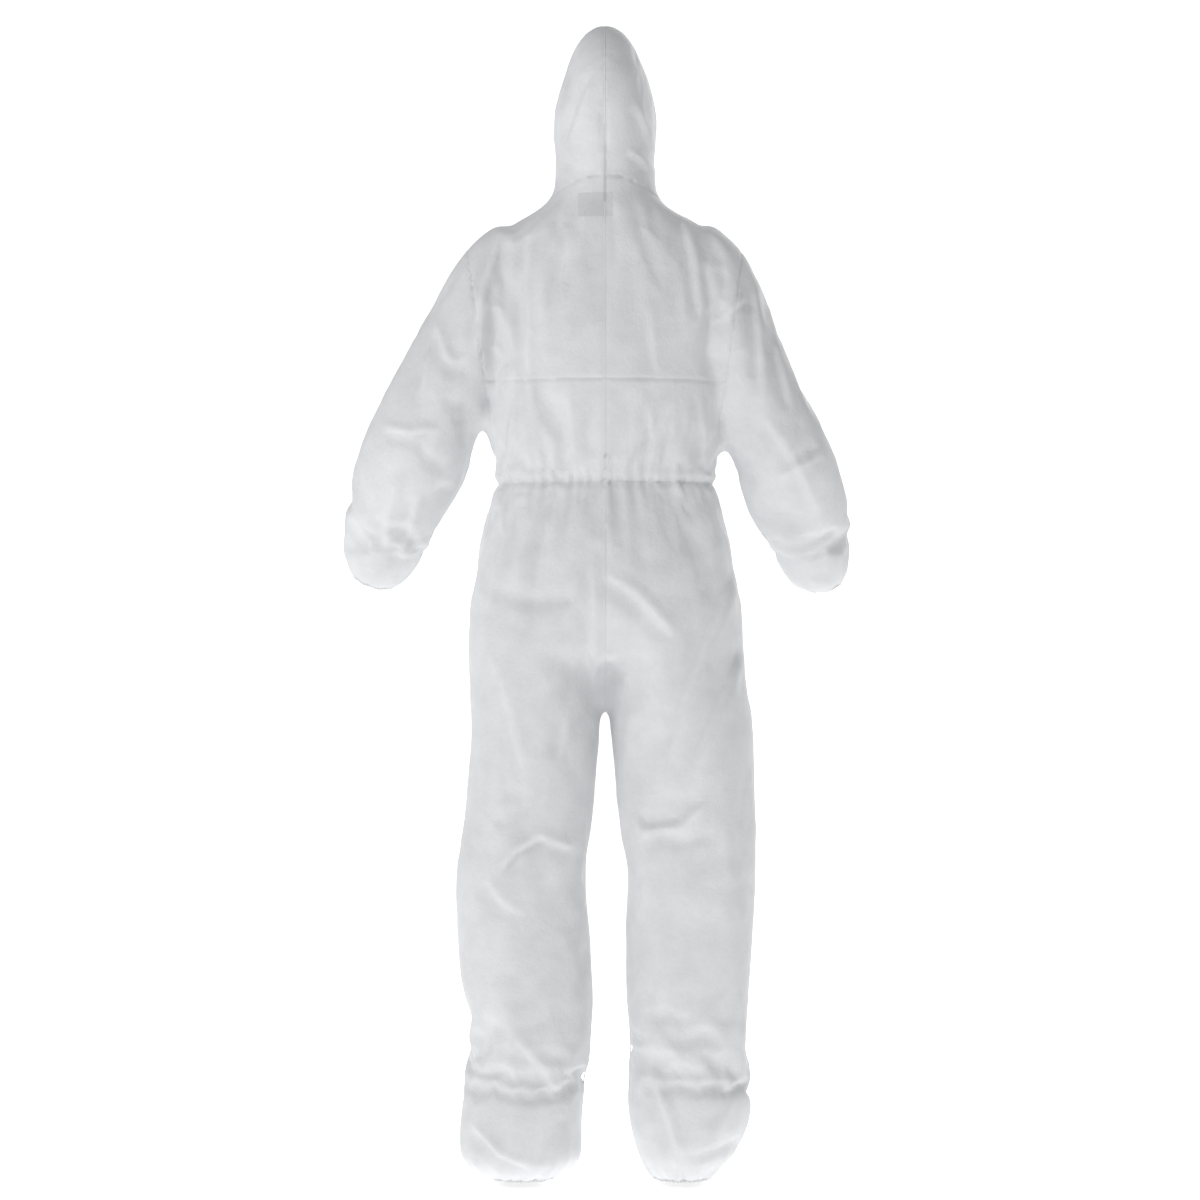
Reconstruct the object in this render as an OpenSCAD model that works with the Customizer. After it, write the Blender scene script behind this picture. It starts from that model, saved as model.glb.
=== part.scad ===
// Hooded protective coverall in its worn shape, built from its sewn panels.
// Millimetres, +Z up. The wearer faces -Y and their left hand is on the +X side.
// The origin is the centre of the neck opening, where the hood is sewn to the body.

/* [Fabric] */
// Thickness of the solid that stands in for the thin fabric
wall = 2; // [1.4:0.1:2.6]
// Depth of a seam allowance, measured inwards from the panels
seam_depth = 8; // [5:1:11]
// Thickness of the folded seam allowances
seam_t = 1.6; // [1:0.1:2.4]
// Gap between the panels and what lies inside them
gap = 0.3; // [0.3:0.05:0.5]

/* [Hood] */
// Height of the hood's peak above the neck seam
hood_h = 253; // [215:1:300]
// Greatest width of the hood
hood_w = 160; // [140:1:190]
// Reach of the hood behind the neck centre
hood_back = 112; // [96:1:132]
// Reach of the hood in front of the neck centre
hood_front = 112; // [100:1:132]
// Radius of the neck opening
neck_r = 84; // [78:1:90]
// Radius of the rounded ends of the face opening
face_r = 54; // [44:1:56]
// Height of the face opening
face_h = 178; // [140:1:182]
// Level of the lowest point of the face opening
face_z = 28; // [25:1:34]

/* [Torso] */
// Distance from the neck seam down to the hip joints
torso_l = 700; // [600:5:800]
// Level of the back yoke seam below the neck
yoke_drop = 301; // [270:1:315]
// Level of the waist elastic below the neck
waist_drop = 456; // [420:1:480]
// Width of the back between the tops of the two armholes
shoulder_w = 412; // [390:1:440]
// Width under the arms
chest_w = 356; // [340:1:372]
// Width at the gathered waist
waist_w = 364; // [350:1:380]
// Reach of the back panels behind the centre at the chest
chest_back = 117; // [105:1:130]
// Reach of the seat behind the centre
seat_back = 122; // [112:1:134]
// How far the front stands out in front of the neck edge
front_reach = 6; // [4:1:12]
// Forward drift of the straight front edge, per millimetre of drop
front_slope = 0.038; // [0.02:0.002:0.05]

/* [Sleeves] */
// Distance of the shoulder joint from the centre plane
shoulder_x = 150; // [142:1:158]
// Level of the shoulder joint below the neck
shoulder_drop = 125; // [118:1:132]
// Distance from the shoulder joint to the elbow joint
upper_arm_l = 283; // [245:1:320]
// Angle of the upper sleeve from the vertical
arm_angle = 25; // [22:1:32]
// Radius of the upper sleeve
sleeve_r = 79; // [76:1:84]
// Radius of the sleeve head that turns in the armhole
sleeve_head_r = 72; // [66:1:73]
// Distance from the elbow joint to the wrist edge
forearm_l = 262; // [225:1:300]
// Radius of the elbow fold inside the upper sleeve
elbow_r = 72; // [68:1:73]
// Radius of the lower sleeve
forearm_r = 66; // [60:1:68]
// Inner radius of the relaxed wrist elastic
wrist_r = 31; // [26:1:36]

/* [Legs] */
// Distance of the hip joint from the centre plane
hip_x = 107; // [106:0.5:112]
// Radius of the trouser top that turns in the seat
hip_r = 102; // [94:1:103]
// Distance of the knee joint from the centre plane
knee_x = 125; // [118:1:132]
// Distance of the ankle edge from the centre plane
ankle_x = 128; // [120:1:136]
// Drop from the hip joint to the knee joint
thigh_l = 360; // [310:5:420]
// Drop from the knee joint to the ankle edge
shin_l = 476; // [400:4:560]
// Radius of the knee fold inside the thigh
knee_r = 95; // [86:1:95]
// How much wider than the knee the thigh is at its lower end
knee_cover = 4; // [3:1:6]
// Radius of the trouser leg below the knee
shin_r = 93; // [84:1:93]
// Inner radius of the relaxed ankle elastic
ankle_r = 50; // [42:1:58]

/* [Front closure] */
// Half width of the slot between the two front panels
slot_half = 8; // [6:0.5:10]
// Level of the zip's upper end below the neck
zip_top_drop = 18; // [16:1:24]
// Length of the zip
zip_l = 592; // [500:2:596]
// Width of each zip tape
tape_w = 15; // [12:1:20]
// Half width of the gap that the slider's post runs in
post_gap = 0.7; // [0.6:0.05:0.9]
// Width of each row of teeth
teeth_w = 2.1; // [1.8:0.1:2.6]
// Thickness of the teeth
teeth_t = 1.8; // [1.4:0.1:2]
// Length of the slider
slider_l = 12; // [10:1:16]
// Length of the pull tab
tab_l = 30; // [24:1:34]
// Width of the storm flap
flap_w = 53; // [44:1:60]
// Drop from the zip's upper end to the top of the storm flap
flap_start = 48; // [46:1:60]

/* [Label] */
// Width of the sewn-in label
label_w = 54; // [40:1:60]
// Height of the sewn-in label
label_h = 38; // [30:1:44]

/* [Hidden] */

big = 2000;
band = 25;        // tallest strip of a panel between two of its cross-sections
steps = 9;        // strips around a quarter of the body
elastic_t = 1.2;
elastic_w = 12;
joint_gap = 2;    // room between a turning limb and what it turns in

// Levels
yoke_z = -yoke_drop;
waist_z = -waist_drop;
hip_z = -torso_l;
knee_z = hip_z - thigh_l;
ankle_z = knee_z - shin_l;
neck_z = -12;
front_top = neck_r + front_reach;
thigh_r = knee_r + knee_cover;
armpit_z = yoke_z - 29;
hip_half = hip_x + hip_r + 5.5;

// Half width of the body at each level; beside the armholes it is the flare that the sleeves cut off
body_half = [
    [neck_z, neck_r + 6], [-22, neck_r + 23], [-53, shoulder_w / 2 - 40], [-84, shoulder_w / 2 - 10],
    [-110, shoulder_w / 2 + 14], [-177, shoulder_w / 2 + 31], [-239, chest_w / 2 + 46],
    [yoke_z, chest_w / 2 + 12], [armpit_z - 20, chest_w / 2], [armpit_z - 70, chest_w / 2],
    [waist_z, waist_w / 2], [waist_z - 62, waist_w / 2 + 13], [hip_z + 58, hip_half - 4], [hip_z, hip_half]
];
body_back = [
    [neck_z, neck_r + 6], [-30, neck_r + 12], [-60, chest_back - 12], [-100, chest_back - 6],
    [-177, chest_back], [yoke_z, chest_back - 1], [waist_z, chest_back - 9], [waist_z - 100, seat_back - 2],
    [hip_z + 58, seat_back], [hip_z, seat_back - 8]
];
// Half width of the back between the armhole edges
armhole_half = [
    [-90, big], [-93, shoulder_w / 2 + 6], [-177, shoulder_w / 2 - 8], [-239, chest_w / 2 + 10],
    [yoke_z, chest_w / 2], [armpit_z, chest_w / 2], [armpit_z - 1, big]
];
body_power = 2.3;

// Hood outline: level, half width, reach back, reach front
peak_half = wall + 0.3;
hood_rings = [
    [-22, neck_r - 2.9, neck_r - 2.9, neck_r - 2.9], [-8, neck_r - 0.4, neck_r - 0.4, neck_r - 0.4],
    [8, neck_r - 0.4, neck_r - 0.4, neck_r - 0.4], [20, neck_r - 2.4, neck_r - 2.4, neck_r - 2.4],
    [40, hood_w / 2 - 3, hood_back - 26, hood_front - 28],
    [hood_h * 0.32, hood_w / 2 - 2, hood_back - 10, hood_front - 14],
    [hood_h * 0.44, hood_w / 2, hood_back, hood_front - 4],
    [hood_h * 0.61, hood_w / 2 - 9, hood_back, hood_front],
    [hood_h * 0.78, hood_w / 2 - 22, hood_back - 14, hood_front - 8],
    [hood_h * 0.88, hood_w / 2 - 36, hood_back - 32, hood_front - 24],
    [hood_h * 0.95, hood_w / 2 - 50, hood_back - 56, hood_front - 52],
    [hood_h, peak_half, 16, 14]
];
crown_z = hood_h * 0.78;

// Shoulder, elbow and wrist of the left sleeve
shoulder = [shoulder_x, 0, -shoulder_drop];
upper_axis = [sin(arm_angle), 0, -cos(arm_angle)];
elbow = shoulder + upper_arm_l * upper_axis;
forearm_axis = unit([84, -110, -223]);
elbow_hinge = unit(cross(upper_axis, forearm_axis));
wrist_edge = 16;      // straight edge of the sleeve that holds the elastic
elbow_back_rim = 5;   // the upper sleeve reaches this far past the elbow at the back
elbow_front_rim = 60; // and stops this far above it at the front, so that the arm can bend
armhole_gap = 2;
neck_gap = 1.2;       // room between the turning hood and the neck seam
seam_gap = 0.9;       // room between a curved panel and the strip inside it
head_level = -150;    // above this level the panels leave room for the whole sleeve head
raise_max = 45;       // how far the sleeve turns outwards at the shoulder, in degrees

// Hip, knee and ankle of the left leg
hip = [hip_x, 0, hip_z];
knee = [knee_x, 0, knee_z];
ankle = [ankle_x, 0, ankle_z];
thigh_axis = unit(knee - hip);
shin_axis = unit(ankle - knee);
thigh_len = norm(knee - hip);
shin_len = norm(ankle - knee);
ball_open = 45;       // half angle of the hole at the top of each turning ball
knee_front_rim = 5;
knee_back_rim = 75;
seat_front_rim = 80;  // the front of the seat ends this far above the hip joint
seat_back_rim = 10;   // and the back this far

// Front closure, in its own frame: x across, y out of the chest, z up the zip
zip_top = -zip_top_drop;
zip_tilt = atan(front_slope);
tape_t = 0.6;
tape_y = wall + seam_gap;     // depth of the tape behind the outer face of the fronts
tape_x = 1;
stop_l = 3;
slider_half = 4.5;
slider_plate = 1.8;
slider_gap = 0.3;
slider_y = tape_y - teeth_t - slider_gap;
slider_top = 7;               // the slider's centre below the zip's upper end, when closed
lug_in = 2.2;
lug_out = 3.2;
pin_r = 0.7;
barrel_r = 1.7;
barrel_bore = 0.8;
barrel_half = 1.9;
pin_y = slider_y - slider_plate - barrel_r - slider_gap;
tab_half = 2.6;
tab_t = 1.2;
flap_t = 1.5;
flap_x = 29;                  // the sewn edge of the flap, on the wearer's left
flap_y = pin_y - barrel_r - 2.2;
label_x = 15;

function unit(v) = v / norm(v);
function signed_pow(v, e) = sign(v) * pow(abs(v), e);
function part_of(a, b, t) = a + (b - a) * t;
function levels(z0, z1) = let(n = ceil(abs(z1 - z0) / band)) [for (i = [0:n]) part_of(z0, z1, i / n)];

// A point of the body's surface at angle t and level z, moved inwards by d
function body_point(t, z, d) =
    let(a = lookup(z, body_half) - d,
        b = (sin(t) >= 0 ? lookup(z, body_back) : front_top - front_slope * z) - d)
    [a * signed_pow(cos(t), 2 / body_power), b * signed_pow(sin(t), 2 / body_power), z];

// The angle at which the body's surface is at distance x from the centre plane
function angle_at(x, z, d) =
    let(a = lookup(z, body_half) - d) x >= a ? 0 : acos(pow(max(x, 0) / a, body_power / 2));

// A point of the hood's surface: the roof also moves down, so that it keeps its thickness
function hood_value(z, k) = lookup(z, [for (r = hood_rings) [r[0], r[k]]]);
function hood_point(t, z, d) =
    let(a = hood_value(z, 1) - d,
        b = (sin(t) >= 0 ? hood_value(z, 2) : hood_value(z, 3)) - d,
        roof = max(0, (z - crown_z) / (hood_h - crown_z)))
    [a * cos(t), b * sin(t), z - d * roof];

// A closed solid between two grids of points, each a list of rows of the same length
module sheet(outer, inner) {
    rows = len(outer);
    cols = len(outer[0]);
    half = rows * cols;
    points = concat([for (r = outer, p = r) p], [for (r = inner, p = r) p]);
    quads = concat(
        [for (i = [0:rows - 2], j = [0:cols - 2])
            [i * cols + j, i * cols + j + 1, (i + 1) * cols + j + 1, (i + 1) * cols + j]],
        [for (i = [0:rows - 2], j = [0:cols - 2])
            [half + i * cols + j, half + (i + 1) * cols + j, half + (i + 1) * cols + j + 1, half + i * cols + j + 1]],
        [for (i = [0:rows - 2])
            [i * cols, (i + 1) * cols, half + (i + 1) * cols, half + i * cols]],
        [for (i = [0:rows - 2])
            [(i + 1) * cols - 1, half + (i + 1) * cols - 1, half + (i + 2) * cols - 1, (i + 2) * cols - 1]],
        [for (j = [0:cols - 2])
            [j, half + j, half + j + 1, j + 1]],
        [for (j = [0:cols - 2])
            [half - cols + j, half - cols + j + 1, 2 * half - cols + j + 1, 2 * half - cols + j]]);
    polyhedron(points, [for (q = quads, k = [1, 2]) [q[0], q[k], q[k + 1]]]);
}

// A strip of the body between two levels, from distance x0 off the centre plane out to x1,
// on the back (side 1) or the front (side -1), between two depths under the surface
module body_sheet(z0, z1, x0, x1, side, d0, d1, n) {
    function x_end(z) = min(lookup(z, x1), lookup(z, armhole_half));
    function row(z, d) =
        let(t0 = angle_at(x_end(z), z, d), t1 = angle_at(x0, z, d))
        [for (j = [0:n]) body_point(side * part_of(t0, t1, j / n), z, d)];
    zs = levels(z0, z1);
    sheet([for (z = zs) row(z, side > 0 ? d0 : d1)], [for (z = zs) row(z, side > 0 ? d1 : d0)]);
}
whole = [[0, big]];

module mirrored(side) {
    if (side > 0) children();
    else mirror([1, 0, 0]) children();
}

// Puts +Z of the children on the axis v at the point p, and their +X towards the direction g
module along(p, v, g) {
    x = unit(g - (g * v) * v);
    y = cross(v, x);
    multmatrix([
        [x[0], y[0], v[0], p[0]],
        [x[1], y[1], v[1], p[1]],
        [x[2], y[2], v[2], p[2]],
        [0, 0, 0, 1]
    ]) children();
}

// A wall turned round the Z axis: a ball of radius r, open at its top, that runs on as the tube
function ball_points(r, tube, turns = 8) = concat(
    [for (i = [0:turns]) let(a = part_of(ball_open, 90, i / turns)) [r * sin(a), -r * cos(a)]], tube);
module turned_wall(r, tube, t) {
    outer = ball_points(r, tube);
    inner = ball_points(r - t, [for (p = tube) [p[0] - t, p[1]]]);
    count = len(inner);
    rotate_extrude($fn = 96)
        polygon(concat(outer, [for (i = [1:count]) inner[count - i]]));
}

// Where a ball of radius r runs into its tube
function tube_start(r, tube_r) = let(edge = min(tube_r, r - 1)) [edge, sqrt(r * r - edge * edge)];

// A flat fin inside a tube: the seam allowance of its long seam
module fin(profile, t, depth) {
    far = [for (p = profile) [p[0] - t - gap, p[1]]];
    count = len(far);
    rotate([90, 0, 0])
        linear_extrude(seam_t, center = true)
            polygon(concat(far, [for (i = [1:count]) far[count - i] - [depth, 0]]));
}

module elastic_ring(r, z) {
    translate([0, 0, z])
        difference() {
            cylinder(h = elastic_w, r = r + elastic_t, $fn = 96);
            translate([0, 0, -1]) cylinder(h = elastic_w + 2, r = r, $fn = 96);
        }
}

// ---- Hood ----

module face_hole(grow) {
    for (z = [face_z + face_r, face_z + face_h - face_r])
        translate([0, 0, z]) rotate([90, 0, 0]) cylinder(h = 200, r = face_r + grow, $fn = 96);
    translate([-face_r - grow, -200, face_z + face_r])
        cube([2 * (face_r + grow), 200, face_h - 2 * face_r]);
}

module hood_shell(d0, d1, t0, t1, n) {
    zs = [for (i = [0:len(hood_rings) - 2], k = [0, 0.5])
            part_of(hood_rings[i][0], hood_rings[i + 1][0], k), hood_h];
    sheet([for (z = zs) [for (j = [0:n]) hood_point(part_of(t0, t1, j / n), z, d0)]],
          [for (z = zs) [for (j = [0:n]) hood_point(part_of(t0, t1, j / n), z, d1)]]);
}

module hood_panel(side) {
    color("white") mirrored(side)
        difference() {
            hood_shell(0, wall, -90, 90, 2 * steps);
            face_hole(0);
        }
}
module hood_left_panel() hood_panel(1);
module hood_right_panel() hood_panel(-1);

module hood_centre_seam() {
    zs = [for (z = [hood_h * 0.88, crown_z, hood_h * 0.61, hood_h * 0.44, hood_h * 0.32, 40]) z];
    d = wall + gap;
    function roof(z) = d * max(0, (z - crown_z) / (hood_h - crown_z));
    color("gainsboro")
        translate([-seam_t / 2, 0, 0]) rotate([90, 0, 90]) linear_extrude(seam_t)
            polygon(concat(
                [for (z = zs) [hood_value(z, 2) - d, z - roof(z)]],
                [for (i = [1:len(zs)]) let(z = zs[len(zs) - i]) [hood_value(z, 2) - d - seam_depth, z - roof(z)]]));
}

// One half of the elastic: from the chin up one side of the face opening to the forehead
module face_elastic() {
    function on_hood(x, z, d) = [x, -(hood_value(z, 3) - d) * sqrt(1 - pow(x / (hood_value(z, 1) - d), 2)), z];
    function edge(grow, d) = [
        for (end = [[face_z + face_r, -90], [face_z + face_h - face_r, 0]], k = [0:steps])
            let(a = end[1] + 90 * k / steps, r = face_r + grow) on_hood(r * cos(a), end[0] + r * sin(a), d)];
    d = wall + seam_gap;
    color("whitesmoke") for (side = [1, -1]) mirrored(side)
        sheet([edge(9, d), edge(2, d)], [edge(9, d + elastic_t), edge(2, d + elastic_t)]);
}

// ---- Body panels ----

module shoulder_room() {
    translate(shoulder) sphere(r = sleeve_head_r + joint_gap + 0.5, $fn = 96);
    for (raised = [0 : raise_max / 3 : raise_max])
        intersection() {
            translate(shoulder) rotate([0, -raised, 0]) translate(-shoulder)
                along(shoulder, upper_axis, [1, 0, 0]) cylinder(h = 80, r = sleeve_r + joint_gap, $fn = 96);
            translate([0, -big / 2, head_level - 1]) cube([big, big, -head_level]);
        }
}

module hip_room() {
    translate(hip) sphere(r = hip_r + joint_gap, $fn = 96);
}

// Everything below the slanted lower edge of the seat
module below_seat() {
    front = front_top - front_slope * (hip_z + seat_front_rim);
    drop = seat_front_rim - seat_back_rim;
    translate([0, -front, hip_z + seat_front_rim])
        rotate([-atan(drop / (front + seat_back)), 0, 0])
            translate([-big / 2, -big / 2, -big]) cube([big, big, big]);
}

module back_yoke(side) {
    color("white") mirrored(side)
        difference() {
            body_sheet(neck_z, yoke_z, 0, whole, 1, 0, wall, steps);
            shoulder_room();
        }
}
module back_yoke_left() back_yoke(1);
module back_yoke_right() back_yoke(-1);

module lower_back(side) {
    color("white") mirrored(side)
        body_sheet(yoke_z, waist_z, 0, whole, 1, 0, wall, steps);
}
module lower_back_left() lower_back(1);
module lower_back_right() lower_back(-1);

module seat(side) {
    color("white") mirrored(side)
        difference() {
            body_sheet(waist_z, hip_z - 20, 0, whole, 1, 0, wall, steps);
            hip_room();
            below_seat();
        }
}
module seat_left() seat(1);
module seat_right() seat(-1);

module front(side) {
    color("white") mirrored(side)
        difference() {
            body_sheet(neck_z, waist_z, slot_half, whole, -1, 0, wall, steps);
            shoulder_room();
        }
}
module front_left() front(1);
module front_right() front(-1);

module trouser_front(side) {
    color("white") mirrored(side)
        difference() {
            body_sheet(waist_z, hip_z + 20, slot_half, whole, -1, 0, wall, steps);
            hip_room();
            below_seat();
        }
}
module trouser_front_left() trouser_front(1);
module trouser_front_right() trouser_front(-1);

// ---- Seams and elastics of the body ----

// A seam allowance in the centre plane of the back
module back_fin(z0, z1) {
    zs = levels(z0, z1);
    d = wall + gap;
    translate([-seam_t / 2, 0, 0]) rotate([90, 0, 90]) linear_extrude(seam_t)
        polygon(concat(
            [for (z = zs) [lookup(z, body_back) - d, z]],
            [for (i = [1:len(zs)]) let(z = zs[len(zs) - i]) [lookup(z, body_back) - d - seam_depth, z]]));
}

module neck_seam() {
    color("gainsboro")
        translate([0, 0, neck_z - 10])
            difference() {
                cylinder(h = 8, r = neck_r + neck_gap + seam_t, $fn = 96);
                translate([0, 0, -1]) cylinder(h = 10, r = neck_r + neck_gap, $fn = 96);
            }
}

module size_label() {
    color("white")
        translate([label_x - label_w / 2, neck_r, neck_z - 14 - label_h]) cube([label_w, 0.5, label_h]);
}

module centre_back_seam() {
    color("gainsboro") back_fin(neck_z - 16 - label_h, waist_z + 16);
}

module seat_seam() {
    color("gainsboro") back_fin(waist_z - 16, hip_z + seat_back_rim + 24);
}

module yoke_seam() {
    color("gainsboro") for (side = [1, -1]) mirrored(side)
        body_sheet(yoke_z + seam_t / 2, yoke_z - seam_t / 2, 2, [[0, chest_w / 2 - 4]], 1,
            wall + gap, wall + gap + seam_depth, steps);
}

module crotch_seam() {
    front = front_top - front_slope * (hip_z + seat_front_rim);
    half = (front + seat_back - 8) / 2;
    middle = (seat_back - 8 - front) / 2;
    turns = 14;
    function ring(r) = [for (i = [0:turns]) let(a = 190 + 156 * i / turns)
        [middle + (half - r) * cos(a), hip_z + 18 + (46 - r) * sin(a)]];
    inner = ring(wall + seam_depth);
    color("gainsboro")
        translate([-seam_t / 2, 0, 0]) rotate([90, 0, 90]) linear_extrude(seam_t)
            polygon(concat(ring(wall), [for (i = [0:turns]) inner[turns - i]]));
}

module side_seam(side) {
    d = wall + gap;
    module strip(z0, z1) {
        zs = levels(z0, z1);
        rotate([90, 0, 0]) linear_extrude(seam_t, center = true)
            polygon(concat(
                [for (z = zs) [lookup(z, body_half) - d, z]],
                [for (i = [1:len(zs)]) let(z = zs[len(zs) - i]) [lookup(z, body_half) - d - seam_depth, z]]));
    }
    color("gainsboro") mirrored(side) {
        strip(armpit_z - 8, waist_z + 16);
        strip(waist_z - 16, hip_z + 84);
    }
}
module side_seam_left() side_seam(1);
module side_seam_right() side_seam(-1);

module waist_elastic() {
    color("whitesmoke") for (side = [1, -1]) mirrored(side)
        body_sheet(waist_z + elastic_w / 2, waist_z - elastic_w / 2, 0, whole, 1,
            wall + 2 * seam_gap, wall + 2 * seam_gap + elastic_t, steps);
}

// The allowance along the back and front edges of an armhole
module armhole_seam(side) {
    edge = [for (p = armhole_half) [p[0], p[1] - seam_t]];
    d = wall + seam_gap;
    module strip(face) {
        zs = levels(head_level, yoke_z + 12);
        function at(z, x, depth) = body_point(face * angle_at(x, z, depth), z, depth);
        function row(z, depth) = let(x = lookup(z, edge)) [at(z, x, depth), at(z, x - seam_t, depth)];
        sheet([for (z = zs) row(z, face > 0 ? d : d + seam_depth)],
              [for (z = zs) row(z, face > 0 ? d + seam_depth : d)]);
    }
    color("gainsboro") mirrored(side) {
        strip(1);
        strip(-1);
    }
}
module armhole_seam_left() armhole_seam(1);
module armhole_seam_right() armhole_seam(-1);

// ---- Front closure ----

// Puts the children in the closure's own frame, y = 0 on the outer face of the fronts
module on_front() {
    translate([0, -front_top + front_slope * zip_top, zip_top]) rotate([-zip_tilt, 0, 0]) children();
}

module zip_tape(side) {
    color("white") mirrored(side) on_front()
        translate([tape_x, tape_y, -zip_l]) cube([tape_w, tape_t, zip_l]);
}
module zip_tape_left() zip_tape(1);
module zip_tape_right() zip_tape(-1);

module zip_teeth(side) {
    color("whitesmoke") mirrored(side) on_front()
        translate([post_gap, tape_y - teeth_t, -zip_l + stop_l + 1])
            cube([teeth_w, teeth_t, zip_l - 2 * stop_l - 2]);
}
module zip_teeth_left() zip_teeth(1);
module zip_teeth_right() zip_teeth(-1);

module zip_top_stops() {
    color("silver") for (side = [1, -1]) mirrored(side) on_front()
        translate([post_gap, tape_y - teeth_t, -stop_l]) cube([teeth_w, teeth_t, stop_l]);
}

module zip_bottom_stop() {
    color("silver") on_front()
        translate([-post_gap - teeth_w, tape_y - teeth_t, -zip_l]) cube([2 * (post_gap + teeth_w), teeth_t, stop_l]);
}

module on_slider() {
    on_front() translate([0, 0, -stop_l - slider_top]) children();
}

module zip_slider() {
    color("silver") on_slider() {
        translate([-slider_half, slider_y - slider_plate, -slider_l / 2])
            cube([2 * slider_half, slider_plate, slider_l]);
        translate([-slider_half, tape_y + tape_t + slider_gap, -slider_l / 2])
            cube([2 * slider_half, 1.2, slider_l]);
        translate([-post_gap / 2, slider_y - 0.5, slider_l / 2 - 4])
            cube([post_gap, tape_y + tape_t + slider_gap - slider_y + 1, 4]);
        for (x = [lug_in, -lug_out])
            translate([x, pin_y - 1.6, -1.8]) cube([lug_out - lug_in, slider_y - pin_y + 1, 3.6]);
        translate([-lug_in - 0.5, pin_y, 0]) rotate([0, 90, 0])
            cylinder(h = 2 * lug_in + 1, r = pin_r, $fn = 48);
    }
}

module pull_tab() {
    color("silver") on_slider() translate([0, pin_y, 0])
        difference() {
            union() {
                translate([-barrel_half, 0, 0]) rotate([0, 90, 0]) cylinder(h = 2 * barrel_half, r = barrel_r, $fn = 48);
                translate([-barrel_half, -tab_t / 2, -6]) cube([2 * barrel_half, tab_t, 6]);
                translate([-tab_half, -tab_t / 2, -tab_l]) cube([2 * tab_half, tab_t, tab_l - 5]);
            }
            translate([-barrel_half - 1, 0, 0]) rotate([0, 90, 0])
                cylinder(h = 2 * barrel_half + 2, r = barrel_bore, $fn = 48);
            translate([0, 1, -tab_l + 4]) rotate([90, 0, 0]) cylinder(h = 2, r = 1.2, $fn = 48);
        }
}

module flap_seam() {
    color("white") on_front()
        translate([flap_x - 2, flap_y + flap_t / 2 + 1, -zip_l])
            cube([2, -flap_y - flap_t / 2 - 1 - gap, zip_l - flap_start]);
}

module storm_flap() {
    color("white") on_front()
        translate([flap_x - flap_w, flap_y - flap_t / 2, -zip_l]) cube([flap_w, flap_t, zip_l - flap_start]);
}

// ---- Sleeves ----

upper_tube = [
    [sleeve_head_r, 30], [sleeve_r, 80], [sleeve_r, upper_arm_l + elbow_back_rim + 4]
];
forearm_tube = [
    tube_start(elbow_r, forearm_r), [forearm_r, 60], [forearm_r + 2, forearm_l - 80],
    [forearm_r - 2, forearm_l - 40], [forearm_r - 14, forearm_l - 24],
    [wrist_r + elastic_t + gap + wall, forearm_l - wrist_edge], [wrist_r + elastic_t + gap + wall, forearm_l]
];

// What the body takes up beside the sleeve, with the gap to it
module body_room() {
    edge = [for (p = armhole_half) if (p[1] < big) [p[1] + armhole_gap, p[0]]];
    rotate([90, 0, 0]) linear_extrude(big, center = true)
        polygon(concat(
            [[-big, big], [shoulder_x, big], [shoulder_x, head_level], [lookup(head_level, armhole_half) + armhole_gap, head_level]],
            [for (p = edge) if (p[1] < head_level) p],
            [[max(chest_w, waist_w) / 2 + armhole_gap, waist_z], [-big, waist_z]]));
}

module upper_sleeve(side) {
    reach = elbow_front_rim + elbow_back_rim;
    color("white") mirrored(side)
        difference() {
            along(shoulder, upper_axis, cross(elbow_hinge, upper_axis))
                difference() {
                    turned_wall(sleeve_head_r, upper_tube, wall);
                    translate([0, 0, upper_arm_l + (elbow_back_rim - elbow_front_rim) / 2])
                        rotate([0, atan(reach / (2 * sleeve_r)), 0])
                            translate([-big / 2, -big / 2, 0]) cube(big);
                }
            body_room();
        }
}
module upper_sleeve_left() upper_sleeve(1);
module upper_sleeve_right() upper_sleeve(-1);

module lower_sleeve(side) {
    color("white") mirrored(side)
        along(elbow, forearm_axis, [-1, 0, 0]) turned_wall(elbow_r, forearm_tube, wall);
}
module lower_sleeve_left() lower_sleeve(1);
module lower_sleeve_right() lower_sleeve(-1);

module sleeve_seam(side) {
    color("gainsboro") mirrored(side)
        along(elbow, forearm_axis, [-1, 0, 0])
            fin([for (p = forearm_tube) if (p[1] > 50 && p[1] < forearm_l - 30) p], wall, seam_depth);
}
module sleeve_seam_left() sleeve_seam(1);
module sleeve_seam_right() sleeve_seam(-1);

module wrist_elastic(side) {
    color("whitesmoke") mirrored(side)
        along(elbow, forearm_axis, [-1, 0, 0]) elastic_ring(wrist_r, forearm_l - elastic_w - 2);
}
module wrist_elastic_left() wrist_elastic(1);
module wrist_elastic_right() wrist_elastic(-1);

// ---- Legs ----

thigh_tube = [
    [hip_r - 1, sqrt(2 * hip_r - 1)], [hip_r - 1, 0.45 * thigh_len], [thigh_r, 0.72 * thigh_len],
    [thigh_r, thigh_len + knee_front_rim + 4]
];
shin_tube = [
    tube_start(knee_r, shin_r) + [0, 1], [shin_r, shin_len - 140], [shin_r - 2, shin_len - 96],
    [shin_r - 1, shin_len - 46], [shin_r - 13, shin_len - 26],
    [ankle_r + elastic_t + gap + wall, shin_len - wrist_edge], [ankle_r + elastic_t + gap + wall, shin_len]
];

module thigh(side) {
    reach = knee_back_rim + knee_front_rim;
    color("white") mirrored(side)
        along(hip, thigh_axis, [0, 1, 0])
            difference() {
                turned_wall(hip_r, thigh_tube, wall);
                translate([0, 0, thigh_len + (knee_front_rim - knee_back_rim) / 2])
                    rotate([0, atan(reach / (2 * thigh_r)), 0])
                        translate([-big / 2, -big / 2, 0]) cube(big);
            }
}
module thigh_left() thigh(1);
module thigh_right() thigh(-1);

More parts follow.
